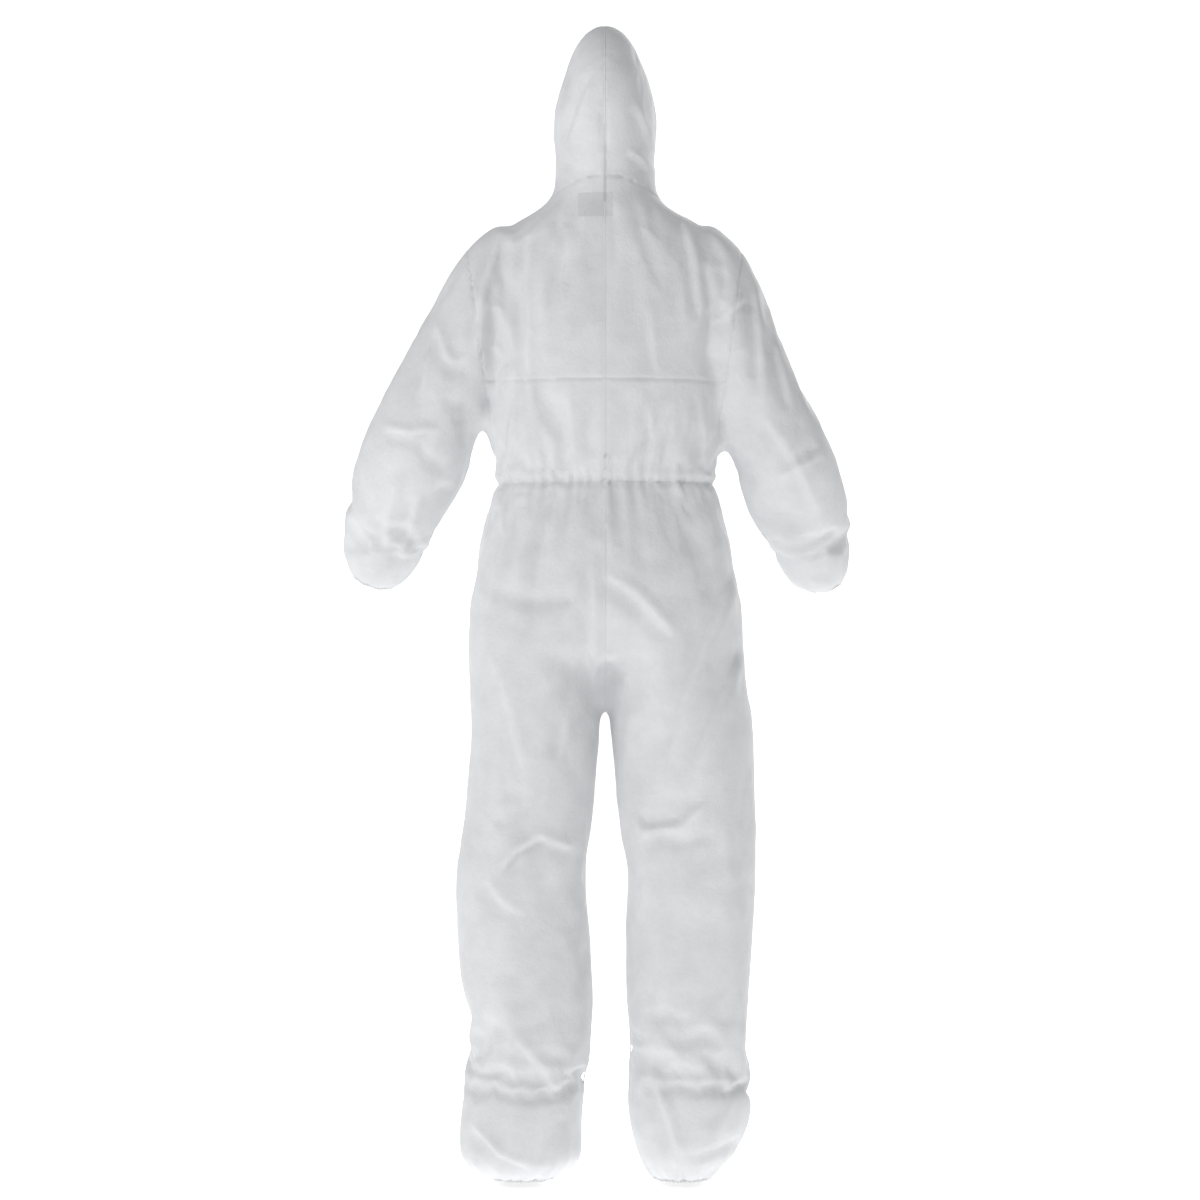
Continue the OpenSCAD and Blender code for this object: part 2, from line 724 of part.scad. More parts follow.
module thigh_inseam(side) {
    color("gainsboro") mirrored(side)
        along(hip, thigh_axis, [-1, 0, 0])
            fin([[hip_r - 1, 30], [hip_r - 1, 0.45 * thigh_len], [thigh_r, 0.72 * thigh_len]],
                wall, seam_depth);
}
module thigh_inseam_left() thigh_inseam(1);
module thigh_inseam_right() thigh_inseam(-1);

module shin(side) {
    color("white") mirrored(side)
        along(knee, shin_axis, [0, 1, 0]) turned_wall(knee_r, shin_tube, wall);
}
module shin_left() shin(1);
module shin_right() shin(-1);

module shin_inseam(side) {
    color("gainsboro") mirrored(side)
        along(knee, shin_axis, [-1, 0, 0])
            fin(concat([[min(shin_r, knee_r - 1), 50]], [for (p = shin_tube) if (p[1] > 50 && p[1] < shin_len - 40) p]),
                wall, seam_depth);
}
module shin_inseam_left() shin_inseam(1);
module shin_inseam_right() shin_inseam(-1);

module ankle_elastic(side) {
    color("whitesmoke") mirrored(side)
        along(knee, shin_axis, [0, 1, 0]) elastic_ring(ankle_r, shin_len - elastic_w - 2);
}
module ankle_elastic_left() ankle_elastic(1);
module ankle_elastic_right() ankle_elastic(-1);

hood_left_panel();
hood_right_panel();
hood_centre_seam();
face_elastic();
neck_seam();
size_label();
back_yoke_left();
back_yoke_right();
lower_back_left();
lower_back_right();
seat_left();
seat_right();
front_left();
front_right();
trouser_front_left();
trouser_front_right();
centre_back_seam();
yoke_seam();
seat_seam();
crotch_seam();
side_seam_left();
side_seam_right();
waist_elastic();
armhole_seam_left();
armhole_seam_right();
zip_tape_left();
zip_tape_right();
zip_teeth_left();
zip_teeth_right();
zip_top_stops();
zip_bottom_stop();
zip_slider();
pull_tab();
flap_seam();
storm_flap();
upper_sleeve_left();
upper_sleeve_right();
lower_sleeve_left();
lower_sleeve_right();
sleeve_seam_left();
sleeve_seam_right();
wrist_elastic_left();
wrist_elastic_right();
thigh_left();
thigh_right();
thigh_inseam_left();
thigh_inseam_right();
shin_left();
shin_right();
shin_inseam_left();
shin_inseam_right();
ankle_elastic_left();
ankle_elastic_right();
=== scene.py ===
# %% [markdown]
# # A hooded disposable coverall, piece by piece
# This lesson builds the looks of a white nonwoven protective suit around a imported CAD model.
# The CAD model holds the joints and the collision shapes. It is loaded as a fixed frame, and
# every visible piece made here rides on one of its bodies or bends between two of them.

# %% Load the frame
import bpy
import bmesh
import math
import time
import numpy as np
from mathutils import Matrix, Vector


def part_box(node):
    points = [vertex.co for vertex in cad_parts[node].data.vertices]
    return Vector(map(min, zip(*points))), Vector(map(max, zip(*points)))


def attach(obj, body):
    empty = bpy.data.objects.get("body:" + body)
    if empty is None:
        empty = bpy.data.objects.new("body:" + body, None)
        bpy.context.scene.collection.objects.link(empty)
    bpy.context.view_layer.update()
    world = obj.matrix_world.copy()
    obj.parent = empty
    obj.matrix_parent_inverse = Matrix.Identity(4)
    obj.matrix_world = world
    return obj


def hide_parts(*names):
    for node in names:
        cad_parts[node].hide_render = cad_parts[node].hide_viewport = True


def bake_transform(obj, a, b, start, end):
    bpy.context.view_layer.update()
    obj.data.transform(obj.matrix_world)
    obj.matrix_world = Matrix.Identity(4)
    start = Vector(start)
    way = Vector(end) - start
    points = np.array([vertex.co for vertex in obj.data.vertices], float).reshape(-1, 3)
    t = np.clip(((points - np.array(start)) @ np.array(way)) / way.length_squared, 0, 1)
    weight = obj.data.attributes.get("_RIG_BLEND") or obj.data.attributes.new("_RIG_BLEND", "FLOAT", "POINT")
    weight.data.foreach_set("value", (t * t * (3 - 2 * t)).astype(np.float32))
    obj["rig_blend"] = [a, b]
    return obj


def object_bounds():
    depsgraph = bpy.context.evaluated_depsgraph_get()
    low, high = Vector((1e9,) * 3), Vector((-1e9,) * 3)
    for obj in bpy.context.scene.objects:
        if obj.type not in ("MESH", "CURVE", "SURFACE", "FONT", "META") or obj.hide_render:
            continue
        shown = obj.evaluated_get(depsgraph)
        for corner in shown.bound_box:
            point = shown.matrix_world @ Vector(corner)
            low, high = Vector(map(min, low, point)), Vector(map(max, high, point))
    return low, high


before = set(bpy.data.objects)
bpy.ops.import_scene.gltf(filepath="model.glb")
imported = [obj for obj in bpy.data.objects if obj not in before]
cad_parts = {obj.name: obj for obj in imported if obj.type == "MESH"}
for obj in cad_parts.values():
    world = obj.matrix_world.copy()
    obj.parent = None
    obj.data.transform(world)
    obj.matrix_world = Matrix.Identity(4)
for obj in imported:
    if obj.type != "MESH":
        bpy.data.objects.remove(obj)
cad_low, cad_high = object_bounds()
clock = time.time()
print("CAD box", [round(v, 3) for v in cad_low], [round(v, 3) for v in cad_high])


def deselect_everything():
    if bpy.context.object and bpy.context.object.mode != "OBJECT":
        bpy.ops.object.mode_set(mode="OBJECT")
    bpy.ops.object.select_all(action="DESELECT")


def make_active(piece):
    deselect_everything()
    piece.select_set(True)
    bpy.context.view_layer.objects.active = piece


def apply_modifier(piece, name):
    make_active(piece)
    bpy.ops.object.modifier_apply(modifier=name)


deselect_everything()

# %% [markdown]
# ## Where the suit's seams are
# The suit is sewn from flat panels, and the seams between them lie close to planes: the neck
# seam slopes up towards the back, each armhole seam leans with the sleeve, and the yoke and the
# waist are level. These planes are named once, because the same planes later cut the finished
# cloth into its panels and say where the fabric starts to bend at a joint.

# %% Planes of the seams
SHOULDER = Vector((0.150, 0.0, -0.125))
UPPER_ARM = Vector((math.sin(math.radians(25)), 0.0, -math.cos(math.radians(25))))
FOREARM = Vector((84, -110, -223)).normalized()
ELBOW = SHOULDER + 0.283 * UPPER_ARM
WRIST = ELBOW + 0.262 * FOREARM
NECK_POINT = Vector((0.0, 0.0, -0.027))
NECK_NORMAL = Vector((0.0, -0.45, 1.0)).normalized()
ARMHOLE_NORMAL = Vector((0.991, 0.0, -0.134)).normalized()
ARMHOLE_POINT = Vector((0.195, 0.0, -0.219))
YOKE_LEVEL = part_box("yoke_seam")[0].z + 0.0008
WAIST_LEVEL = -0.456
KNEE_SPLIT = -0.94
SLEEVE_SPLIT = 0.272
HEM_LEVEL = -1.528
SLOT_HALF = 0.008
zip_low, zip_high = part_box("zip_tape_left")
ZIP_END = zip_low.z + 0.001
print("yoke", round(YOKE_LEVEL, 4), "zip from", round(zip_high.z, 3), "to", round(zip_low.z, 3))


def front_face(z):
    """How far the fronts stand forward of the middle plane at a level."""
    return -0.090 + 0.038 * z


def mirror_side(v, side):
    return Vector((side * v[0], v[1], v[2]))


def smoothstep(value, low, high):
    t = np.clip((value - low) / (high - low), 0, 1)
    return t * t * (3 - 2 * t)


# %% [markdown]
# ## The filled-out garment
# A suit on an invisible wearer is a full, soft form, so it starts as six simple lofts: the
# trunk, the hood, two trouser legs and two sleeves. Each loft is a list of rings, and each ring
# has a level, a half width and a reach to the back and the front. The left and right limbs
# differ a little, because no worn suit is quite even. The rows are joined by smooth curves.

# %% Rings and lofts
def ring(centre, across, back, front, power, level, count):
    points = []
    for k in range(count):
        angle = 2 * math.pi * k / count
        c, s = math.cos(angle), math.sin(angle)
        deep = back if s >= 0 else front
        x = across * math.copysign(abs(c) ** (2 / power), c)
        y = deep * math.copysign(abs(s) ** (2 / power), s)
        points.append(Vector((centre + x, y, level)))
    return points


def smooth_rows(rows, steps=3):
    p = np.array(rows, float)
    out = []
    for i in range(len(p) - 1):
        a, b, c, d = p[max(i - 1, 0)], p[i], p[i + 1], p[min(i + 2, len(p) - 1)]
        for k in range(steps):
            t = k / steps
            out.append(0.5 * (2 * b + (c - a) * t + (2 * a - 5 * b + 4 * c - d) * t * t
                              + (3 * b - a - 3 * c + d) * t ** 3))
    out.append(p[-1])
    return out


def loft(name, rings):
    bm = bmesh.new()
    loops = [[bm.verts.new(p) for p in r] for r in rings]
    count = len(rings[0])
    for low, high in zip(loops, loops[1:]):
        for k in range(count):
            n = (k + 1) % count
            bm.faces.new((low[k], low[n], high[n], high[k]))
    bm.faces.new(loops[0][::-1])
    bm.faces.new(loops[-1])
    bmesh.ops.recalc_face_normals(bm, faces=bm.faces)
    mesh = bpy.data.meshes.new(name)
    bm.to_mesh(mesh)
    bm.free()
    piece = bpy.data.objects.new(name, mesh)
    bpy.context.scene.collection.objects.link(piece)
    return piece


# %% Rows of the forms
# level, half width, back, front, squareness
TRUNK = [
    (0.000, 0.078, 0.080, 0.080, 2.0), (-0.030, 0.100, 0.092, 0.090, 2.1),
    (-0.060, 0.150, 0.104, 0.094, 2.2), (-0.100, 0.190, 0.112, 0.096, 2.3),
    (-0.180, 0.196, 0.118, 0.100, 2.4), (-0.300, 0.181, 0.117, 0.104, 2.4),
    (-0.380, 0.179, 0.115, 0.106, 2.4), (-0.456, 0.178, 0.107, 0.107, 2.4),
    (-0.520, 0.194, 0.117, 0.111, 2.4), (-0.600, 0.203, 0.123, 0.113, 2.4),
    (-0.680, 0.211, 0.120, 0.113, 2.4), (-0.720, 0.213, 0.114, 0.110, 2.4),
]
HOOD = [
    (-0.030, 0.080, 0.082, 0.082, 2.0), (0.000, 0.080, 0.084, 0.080, 2.0),
    (0.031, 0.079, 0.088, 0.084, 2.0), (0.062, 0.079, 0.096, 0.094, 2.0),
    (0.093, 0.082, 0.106, 0.104, 2.0), (0.124, 0.080, 0.110, 0.110, 2.0),
    (0.155, 0.0725, 0.110, 0.112, 2.0), (0.186, 0.062, 0.102, 0.108, 2.0),
    (0.217, 0.048, 0.083, 0.093, 2.0), (0.240, 0.031, 0.054, 0.064, 2.0),
    (0.252, 0.014, 0.028, 0.034, 2.0),
]
# level, middle, half width, depth
LEFT_LEG = [
    (-0.640, 0.106, 0.106, 0.110), (-0.720, 0.107, 0.104, 0.110), (-0.829, 0.1085, 0.1005, 0.106),
    (-0.906, 0.114, 0.100, 0.102), (-0.984, 0.1225, 0.0965, 0.096), (-1.061, 0.131, 0.098, 0.094),
    (-1.139, 0.1275, 0.1015, 0.094), (-1.216, 0.123, 0.103, 0.094), (-1.294, 0.117, 0.097, 0.094),
    (-1.371, 0.1225, 0.0945, 0.093), (-1.449, 0.131, 0.094, 0.090), (-1.490, 0.1295, 0.0955, 0.088),
    (-1.512, 0.1305, 0.080, 0.076), (-1.526, 0.1315, 0.056, 0.056), (-1.536, 0.132, 0.030, 0.030),
]
RIGHT_LEG = [
    (-0.640, -0.106, 0.106, 0.110), (-0.720, -0.107, 0.104, 0.110), (-0.829, -0.1175, 0.1065, 0.106),
    (-0.906, -0.121, 0.105, 0.102), (-0.984, -0.1245, 0.1015, 0.096), (-1.061, -0.1295, 0.0965, 0.094),
    (-1.139, -0.128, 0.097, 0.094), (-1.216, -0.1265, 0.0955, 0.094), (-1.294, -0.126, 0.093, 0.093),
    (-1.371, -0.1285, 0.0945, 0.092), (-1.410, -0.131, 0.097, 0.092), (-1.449, -0.130, 0.091, 0.090),
    (-1.488, -0.1265, 0.077, 0.082), (-1.511, -0.120, 0.060, 0.066), (-1.526, -0.119, 0.050, 0.052),
    (-1.536, -0.119, 0.030, 0.030),
]
# x, y, z, half width, half depth
LEFT_SLEEVE = [
    (0.120, 0.000, -0.090, 0.060, 0.060), (0.160, 0.000, -0.140, 0.076, 0.078),
    (0.205, 0.000, -0.220, 0.080, 0.082), (0.2615, 0.000, -0.325, 0.079, 0.080),
    (0.290, -0.005, -0.395, 0.079, 0.076), (0.3225, -0.040, -0.480, 0.073, 0.071),
    (0.350, -0.078, -0.552, 0.065, 0.064), (0.3615, -0.096, -0.590, 0.048, 0.048),
    (0.367, -0.104, -0.606, 0.028, 0.028),
]
RIGHT_SLEEVE = [
    (-0.120, 0.000, -0.090, 0.060, 0.060), (-0.160, 0.000, -0.140, 0.072, 0.078),
    (-0.197, 0.000, -0.220, 0.074, 0.080), (-0.240, 0.000, -0.325, 0.073, 0.079),
    (-0.275, -0.005, -0.405, 0.069, 0.075), (-0.300, -0.040, -0.480, 0.070, 0.070),
    (-0.3265, -0.078, -0.556, 0.060, 0.062), (-0.337, -0.098, -0.596, 0.047, 0.048),
    (-0.340, -0.107, -0.614, 0.028, 0.028),
]


# %% Build the forms
def upright_form(name, rows, grow, limb=False):
    rings = []
    for r in smooth_rows(rows):
        if limb:
            rings.append(ring(r[1], r[2] + grow, r[3] + grow, r[3] + grow, 2.0, r[0], 44))
        else:
            rings.append(ring(0, r[1] + grow, r[2] + grow, r[3] + grow, r[4], r[0], 52))
    return loft(name, rings)


def sleeve_form(name, rows, grow):
    path = smooth_rows(rows)
    rings = []
    for i, r in enumerate(path):
        before, after = path[max(i - 1, 0)], path[min(i + 1, len(path) - 1)]
        along = Vector(after[:3] - before[:3]).normalized()
        side = along.cross(Vector((0, 1, 0))).normalized()
        deep = side.cross(along).normalized()
        turn = [2 * math.pi * k / 40 for k in range(40)]
        centre = Vector(r[:3])
        rings.append([centre + side * (r[3] + grow) * math.cos(a) + deep * (r[4] + grow) * math.sin(a)
                      for a in turn])
    return loft(name, rings)


def whole_form(name, grow, voxel):
    parts = [
        upright_form(name, TRUNK, grow), upright_form("hood_form", HOOD, grow),
        upright_form("left_leg_form", LEFT_LEG, grow, True),
        upright_form("right_leg_form", RIGHT_LEG, grow, True),
        sleeve_form("left_sleeve_form", LEFT_SLEEVE, grow),
        sleeve_form("right_sleeve_form", RIGHT_SLEEVE, grow),
    ]
    deselect_everything()
    for part in parts:
        part.select_set(True)
    bpy.context.view_layer.objects.active = parts[0]
    bpy.ops.object.join()
    form = bpy.context.object
    remesh = form.modifiers.new("one_skin", "REMESH")
    remesh.mode = "VOXEL"
    remesh.voxel_size = voxel
    apply_modifier(form, "one_skin")
    relax = form.modifiers.new("relax", "SMOOTH")
    relax.iterations = 6
    relax.factor = 0.5
    apply_modifier(form, "relax")
    return form


def read_points(piece):
    co = np.empty(len(piece.data.vertices) * 3)
    piece.data.vertices.foreach_get("co", co)
    return co.reshape(-1, 3)


def read_normals(piece):
    no = np.empty(len(piece.data.vertices) * 3)
    piece.data.vertices.foreach_get("normal", no)
    return no.reshape(-1, 3)


def write_points(piece, co):
    piece.data.vertices.foreach_set("co", co.ravel())
    piece.data.update()


# %% Make the skin
def relax_crotch(skin, steps):
    """Smooths only the small web where the two legs meet."""
    near = skin.vertex_groups.new(name="crotch")
    for i, v in enumerate(skin.data.vertices):
        weight = smoothstep(0.075 - abs(v.co.x), 0.0, 0.035)
        weight *= smoothstep(0.085 - abs(v.co.z + 0.735), 0.0, 0.040)
        if weight > 0.01:
            near.add([i], float(weight), "REPLACE")
    soft = skin.modifiers.new("soft_web", "SMOOTH")
    soft.vertex_group = "crotch"
    soft.factor = 0.6
    soft.iterations = steps
    apply_modifier(skin, "soft_web")
    skin.vertex_groups.remove(skin.vertex_groups["crotch"])


garment = whole_form("garment", 0.0, 0.010)
relax_crotch(garment, 16)
print("garment vertices", len(garment.data.vertices), "after", round(time.time() - clock, 1), "s")

# %% [markdown]
# ## The flat front that the zip is sewn to
# A zip stays straight, so the cloth beside it lies flat on the line that the slider runs along.
# The front of the mesh is drawn onto that line before the cloth is simulated, and pinned there.

# %% Flatten the strip beside the zip
def flatten_front(co, strength=1.0):
    x, y, z = co[:, 0], co[:, 1], co[:, 2]
    across = 1 - smoothstep(np.abs(x), 0.024, 0.062)
    level = smoothstep(-z, 0.012, 0.028) * (1 - smoothstep(-z, 0.600, 0.660))
    weight = across * level * (y < -0.03) * strength
    co[:, 1] = y + (front_face(z) - y) * weight
    return weight


points = read_points(garment)
front_weight = flatten_front(points)
write_points(garment, points)
print("vertices held beside the zip", int((front_weight > 0.9).sum()))

# %% [markdown]
# ## Gathers and slack, by cloth simulation
# Thin nonwoven hardly stretches, so it shows its slack as long soft folds. The skin is made a
# little larger than the form it hangs on and lets itself down under light gravity. A vertex
# group shortens the waist elastic and gives extra length where a worn suit has too much of it:
# the backs of the knees, the insides of the elbows and the armpits. The cuffs, the strip beside
# the zip and the peak of the hood are pinned. Each point may move 26 mm at the most.

# %% Simulate the cloth
def slack_map(co):
    x, y, z = np.abs(co[:, 0]), co[:, 1], co[:, 2]
    neutral = 0.30
    weight = np.full(len(co), neutral)
    knee = np.exp(-((z + 1.02) / 0.10) ** 2) * (x < 0.25)
    thigh = 0.7 * np.exp(-((z + 0.80) / 0.12) ** 2) * (x < 0.24)
    shin = 0.1 * np.exp(-((z + 1.38) / 0.10) ** 2) * (x < 0.25)
    arm = (x > 0.215) & (z > -0.64)
    elbow = np.exp(-((z + 0.42) / 0.10) ** 2) * arm
    armpit = np.exp(-((x - 0.19) / 0.04) ** 2 - ((z + 0.22) / 0.10) ** 2)
    extra = np.clip(knee + thigh + shin + elbow + armpit, 0, 1)
    weight -= neutral * extra
    trunk = (x < 0.195) & (y > -0.06)
    waist = np.exp(-((z - WAIST_LEVEL) / 0.010) ** 2) * trunk
    return np.clip(weight + (1 - weight) * waist, 0, 1)


def simulate_cloth(skin, frames):
    body = whole_form("inner_body", -0.014, 0.018)
    body.modifiers.new("solid_body", "COLLISION")
    body.collision.thickness_outer = 0.003
    body.collision.cloth_friction = 8
    co = read_points(skin)
    x, z = np.abs(co[:, 0]), co[:, 2]
    held = smoothstep(-z, 1.360, 1.480)
    held = np.maximum(held, smoothstep(-z, 0.560, 0.590) * (x > 0.26) * (z > -0.7))
    held = np.maximum(held, 0.7 * smoothstep(z, 0.190, 0.235))
    held = np.maximum(held, smoothstep(front_weight, 0.3, 0.9))
    pins = skin.vertex_groups.new(name="pins")
    slack = skin.vertex_groups.new(name="slack")
    for i, (p, w) in enumerate(zip(held, slack_map(co))):
        if p > 0.01:
            pins.add([i], float(p), "REPLACE")
        slack.add([i], float(w), "REPLACE")
    cloth = skin.modifiers.new("cloth", "CLOTH")
    c = cloth.settings
    c.quality = 6
    c.mass = 0.12
    c.tension_stiffness = 30
    c.compression_stiffness = 30
    c.shear_stiffness = 12
    c.bending_stiffness = 1.6
    c.tension_damping = 10
    c.compression_damping = 10
    c.shear_damping = 10
    c.bending_damping = 1
    c.air_damping = 2
    c.vertex_group_mass = "pins"
    c.pin_stiffness = 1
    c.vertex_group_shrink = "slack"
    c.shrink_min = -0.06
    c.shrink_max = 0.14
    c.use_pressure = True
    c.uniform_pressure_force = 0.7
    c.effector_weights.gravity = 0.10
    cloth.collision_settings.distance_min = 0.003
    cloth.collision_settings.collision_quality = 2
    cloth.collision_settings.use_self_collision = False
    scene = bpy.context.scene
    cloth.point_cache.frame_start = 1
    cloth.point_cache.frame_end = frames + 5
    scene.frame_start = 1
    scene.frame_end = frames + 5
    for f in range(1, frames + 1):
        scene.frame_set(f)
    apply_modifier(skin, "cloth")
    scene.frame_set(1)
    moved = read_points(skin) - co
    length = np.linalg.norm(moved, axis=1, keepdims=True)
    moved *= np.minimum(1, 0.026 / np.maximum(length, 1e-9))
    write_points(skin, co + moved)
    bpy.data.objects.remove(body)
    return float(length.mean())


mean = simulate_cloth(garment, 16)
print("cloth moved", round(mean * 1000, 1), "mm on average, after", round(time.time() - clock, 1), "s")
relax_crotch(garment, 12)

# %% [markdown]
# ## A finer skin and its long folds
# The simulated skin is subdivided once, so that it can hold sharper creases. The suit's main
# folds are then drawn in as strokes. A stroke is a line on the back or the front of the suit
# with a width and a height, and it lifts or sinks the cloth near the line along its normals. A
# crease has one gentle side and one steep side, as folded nonwoven has, and it fades at its ends.

# %% Subdivide the skin
finer = garment.modifiers.new("finer", "SUBSURF")
finer.levels = 1
finer.render_levels = 1
apply_modifier(garment, "finer")
bpy.context.view_layer.update()
print("finer skin", len(garment.data.vertices), "vertices")


# %% Draw the folds
def stroke(co, no, line, width, height, kind, side):
    """Adds one fold along a line of (x, z) points. side is 1 for the back and -1 for the front."""
    p = np.array(line, float)
    q = co[:, [0, 2]]
    best = np.full(len(q), 1e9)
    across = np.zeros(len(q))
    place = np.zeros(len(q))
    lengths = np.linalg.norm(np.diff(p, axis=0), axis=1)
    total = lengths.sum()
    run = 0.0
    for a, b, length in zip(p, p[1:], lengths):
        d = (b - a) / length
        t = np.clip((q - a) @ d, 0, length)
        off = q - a - t[:, None] * d
        dist = np.linalg.norm(off, axis=1)
        nearer = dist < best
        best[nearer] = dist[nearer]
        across[nearer] = (off[:, 0] * d[1] - off[:, 1] * d[0])[nearer]
        place[nearer] = ((run + t) / total)[nearer]
        run += length
    s = np.where(across >= 0, best, -best) / width
    if kind == "crease":
        profile = 1.9 * s * np.exp(-1.2 * s * s) - 0.75 * np.exp(-(s / 0.35) ** 2)
    elif kind == "valley":
        profile = -np.exp(-s * s)
    else:
        profile = np.exp(-s * s)
    taper = smoothstep(place, -0.02, 0.22) * (1 - smoothstep(place, 0.78, 1.02))
    facing = smoothstep(side * no[:, 1], -0.25, 0.25)
    co += no * (height * profile * taper * facing * (best < 4 * width))[:, None]


# %% Where the folds run
BACK_FOLDS = [
    # hood
    ([(0.005, 0.114), (0.003, 0.080), (0.002, 0.044)], 0.006, 0.0040, "valley"),
    ([(0.023, 0.163), (0.045, 0.112), (0.062, 0.062)], 0.012, 0.0035, "crease"),
    ([(-0.042, 0.120), (-0.058, 0.085), (-0.070, 0.046)], 0.011, 0.0030, "crease"),
    ([(-0.030, 0.046), (-0.052, 0.036), (-0.077, 0.018)], 0.008, 0.0036, "crease"),
    ([(0.070, 0.040), (0.040, 0.018), (0.004, 0.014)], 0.010, 0.0030, "valley"),
    ([(0.004, 0.014), (-0.030, 0.022), (-0.060, 0.020)], 0.010, 0.0024, "valley"),
    # yoke and armholes
    ([(0.120, -0.060), (0.126, -0.150), (0.122, -0.233), (0.121, -0.372)], 0.012, 0.0042, "crease"),
    ([(0.096, -0.120), (0.092, -0.200), (0.096, -0.285)], 0.014, 0.0022, "ridge"),
    ([(0.163, -0.070), (0.180, -0.120), (0.196, -0.180), (0.200, -0.260)], 0.011, 0.0050, "crease"),
    ([(0.174, -0.140), (0.172, -0.200), (0.172, -0.270)], 0.010, 0.0040, "valley"),
    ([(-0.112, -0.040), (-0.130, -0.120), (-0.143, -0.217)], 0.013, 0.0045, "crease"),
    ([(-0.155, -0.085), (-0.178, -0.112), (-0.180, -0.160), (-0.171, -0.225)], 0.012, 0.0056, "valley"),
    ([(-0.160, -0.222), (-0.190, -0.205), (-0.222, -0.172)], 0.011, 0.0042, "crease"),
    ([(-0.059, -0.180), (-0.066, -0.240), (-0.073, -0.300)], 0.013, 0.0022, "crease"),
    ([(0.060, -0.150), (0.052, -0.230), (0.056, -0.300)], 0.014, 0.0016, "ridge"),
    # lower back
    ([(0.140, -0.315), (0.150, -0.370), (0.158, -0.440)], 0.011, 0.0034, "crease"),
    ([(0.060, -0.330), (0.054, -0.385), (0.060, -0.445)], 0.011, 0.0022, "crease"),
    ([(-0.060, -0.340), (-0.068, -0.390), (-0.062, -0.446)], 0.010, 0.0022, "crease"),
    ([(-0.135, -0.310), (-0.146, -0.380), (-0.150, -0.440)], 0.012, 0.0032, "crease"),
    # seat
    ([(0.183, -0.622), (0.101, -0.637), (0.030, -0.628)], 0.015, 0.0060, "valley"),
    ([(0.026, -0.560), (0.023, -0.650), (0.024, -0.780)], 0.012, 0.0040, "crease"),
    ([(0.150, -0.600), (0.090, -0.560), (0.070, -0.500)], 0.020, 0.0030, "ridge"),
    ([(0.008, -0.600), (-0.045, -0.634), (-0.104, -0.700)], 0.015, 0.0060, "crease"),
    ([(-0.060, -0.610), (-0.100, -0.600), (-0.150, -0.560)], 0.018, 0.0026, "ridge"),
    ([(-0.020, -0.510), (-0.040, -0.560), (-0.030, -0.620)], 0.014, 0.0024, "ridge"),
    # right thigh
    ([(-0.202, -0.574), (-0.165, -0.670), (-0.120, -0.780), (-0.085, -0.883)], 0.017, 0.0052, "crease"),
    ([(-0.214, -0.690), (-0.175, -0.790), (-0.125, -0.899)], 0.016, 0.0044, "crease"),
    ([(-0.150, -0.930), (-0.110, -0.972), (-0.060, -0.978), (-0.050, -0.950)], 0.013, 0.0058, "crease"),
    ([(-0.060, -0.985), (-0.116, -1.004), (-0.175, -0.990)], 0.012, 0.0044, "valley"),
    # left thigh and knee
    ([(0.180, -0.720), (0.150, -0.810), (0.130, -0.900)], 0.018, 0.0030, "crease"),
    ([(0.060, -0.800), (0.075, -0.880), (0.110, -0.950)], 0.014, 0.0030, "crease"),
    ([(0.160, -1.056), (0.132, -1.018), (0.100, -1.000), (0.046, -1.024)], 0.012, 0.0058, "crease"),
    ([(0.168, -0.980), (0.140, -0.960), (0.112, -0.948)], 0.012, 0.0034, "valley"),
    ([(0.190, -1.060), (0.160, -1.100), (0.120, -1.120)], 0.014, 0.0030, "crease"),
    # shins
    ([(0.145, -1.300), (0.105, -1.349), (0.070, -1.400)], 0.015, 0.0044, "crease"),
    ([(0.150, -1.200), (0.140, -1.270), (0.150, -1.330)], 0.016, 0.0024, "ridge"),
    ([(0.209, -1.440), (0.163, -1.486), (0.112, -1.508)], 0.012, 0.0046, "crease"),
    ([(0.060, -1.420), (0.085, -1.460), (0.100, -1.500)], 0.012, 0.0036, "valley"),
    ([(-0.062, -1.350), (-0.085, -1.420), (-0.110, -1.490)], 0.014, 0.0056, "crease"),
    ([(-0.122, -1.492), (-0.165, -1.480), (-0.215, -1.468)], 0.012, 0.0052, "valley"),
    ([(-0.170, -1.330), (-0.185, -1.400), (-0.160, -1.450)], 0.014, 0.0034, "crease"),
    ([(-0.060, -1.100), (-0.075, -1.180), (-0.070, -1.260)], 0.017, 0.0022, "crease"),
    # left sleeve
    ([(0.232, -0.130), (0.262, -0.200), (0.280, -0.270), (0.288, -0.340)], 0.013, 0.0048, "crease"),
    ([(0.262, -0.215), (0.250, -0.262), (0.232, -0.282), (0.206, -0.270)], 0.012, 0.0046, "crease"),
    ([(0.342, -0.378), (0.300, -0.386), (0.252, -0.380)], 0.012, 0.0056, "crease"),
    ([(0.287, -0.390), (0.272, -0.420), (0.240, -0.440)], 0.011, 0.0048, "valley"),
    ([(0.320, -0.430), (0.342, -0.500), (0.352, -0.570)], 0.014, 0.0034, "crease"),
    ([(0.290, -0.470), (0.310, -0.530), (0.330, -0.580)], 0.013, 0.0030, "crease"),
    # right sleeve
    ([(-0.220, -0.130), (-0.231, -0.233), (-0.236, -0.330)], 0.012, 0.0046, "crease"),
    ([(-0.252, -0.230), (-0.270, -0.300), (-0.280, -0.350)], 0.012, 0.0040, "crease"),
    ([(-0.230, -0.350), (-0.265, -0.400), (-0.300, -0.460), (-0.328, -0.520)], 0.014, 0.0042, "crease"),
    ([(-0.330, -0.400), (-0.300, -0.420), (-0.262, -0.440)], 0.012, 0.0038, "crease"),
    ([(-0.330, -0.540), (-0.336, -0.580), (-0.338, -0.612)], 0.010, 0.0040, "valley"),
]
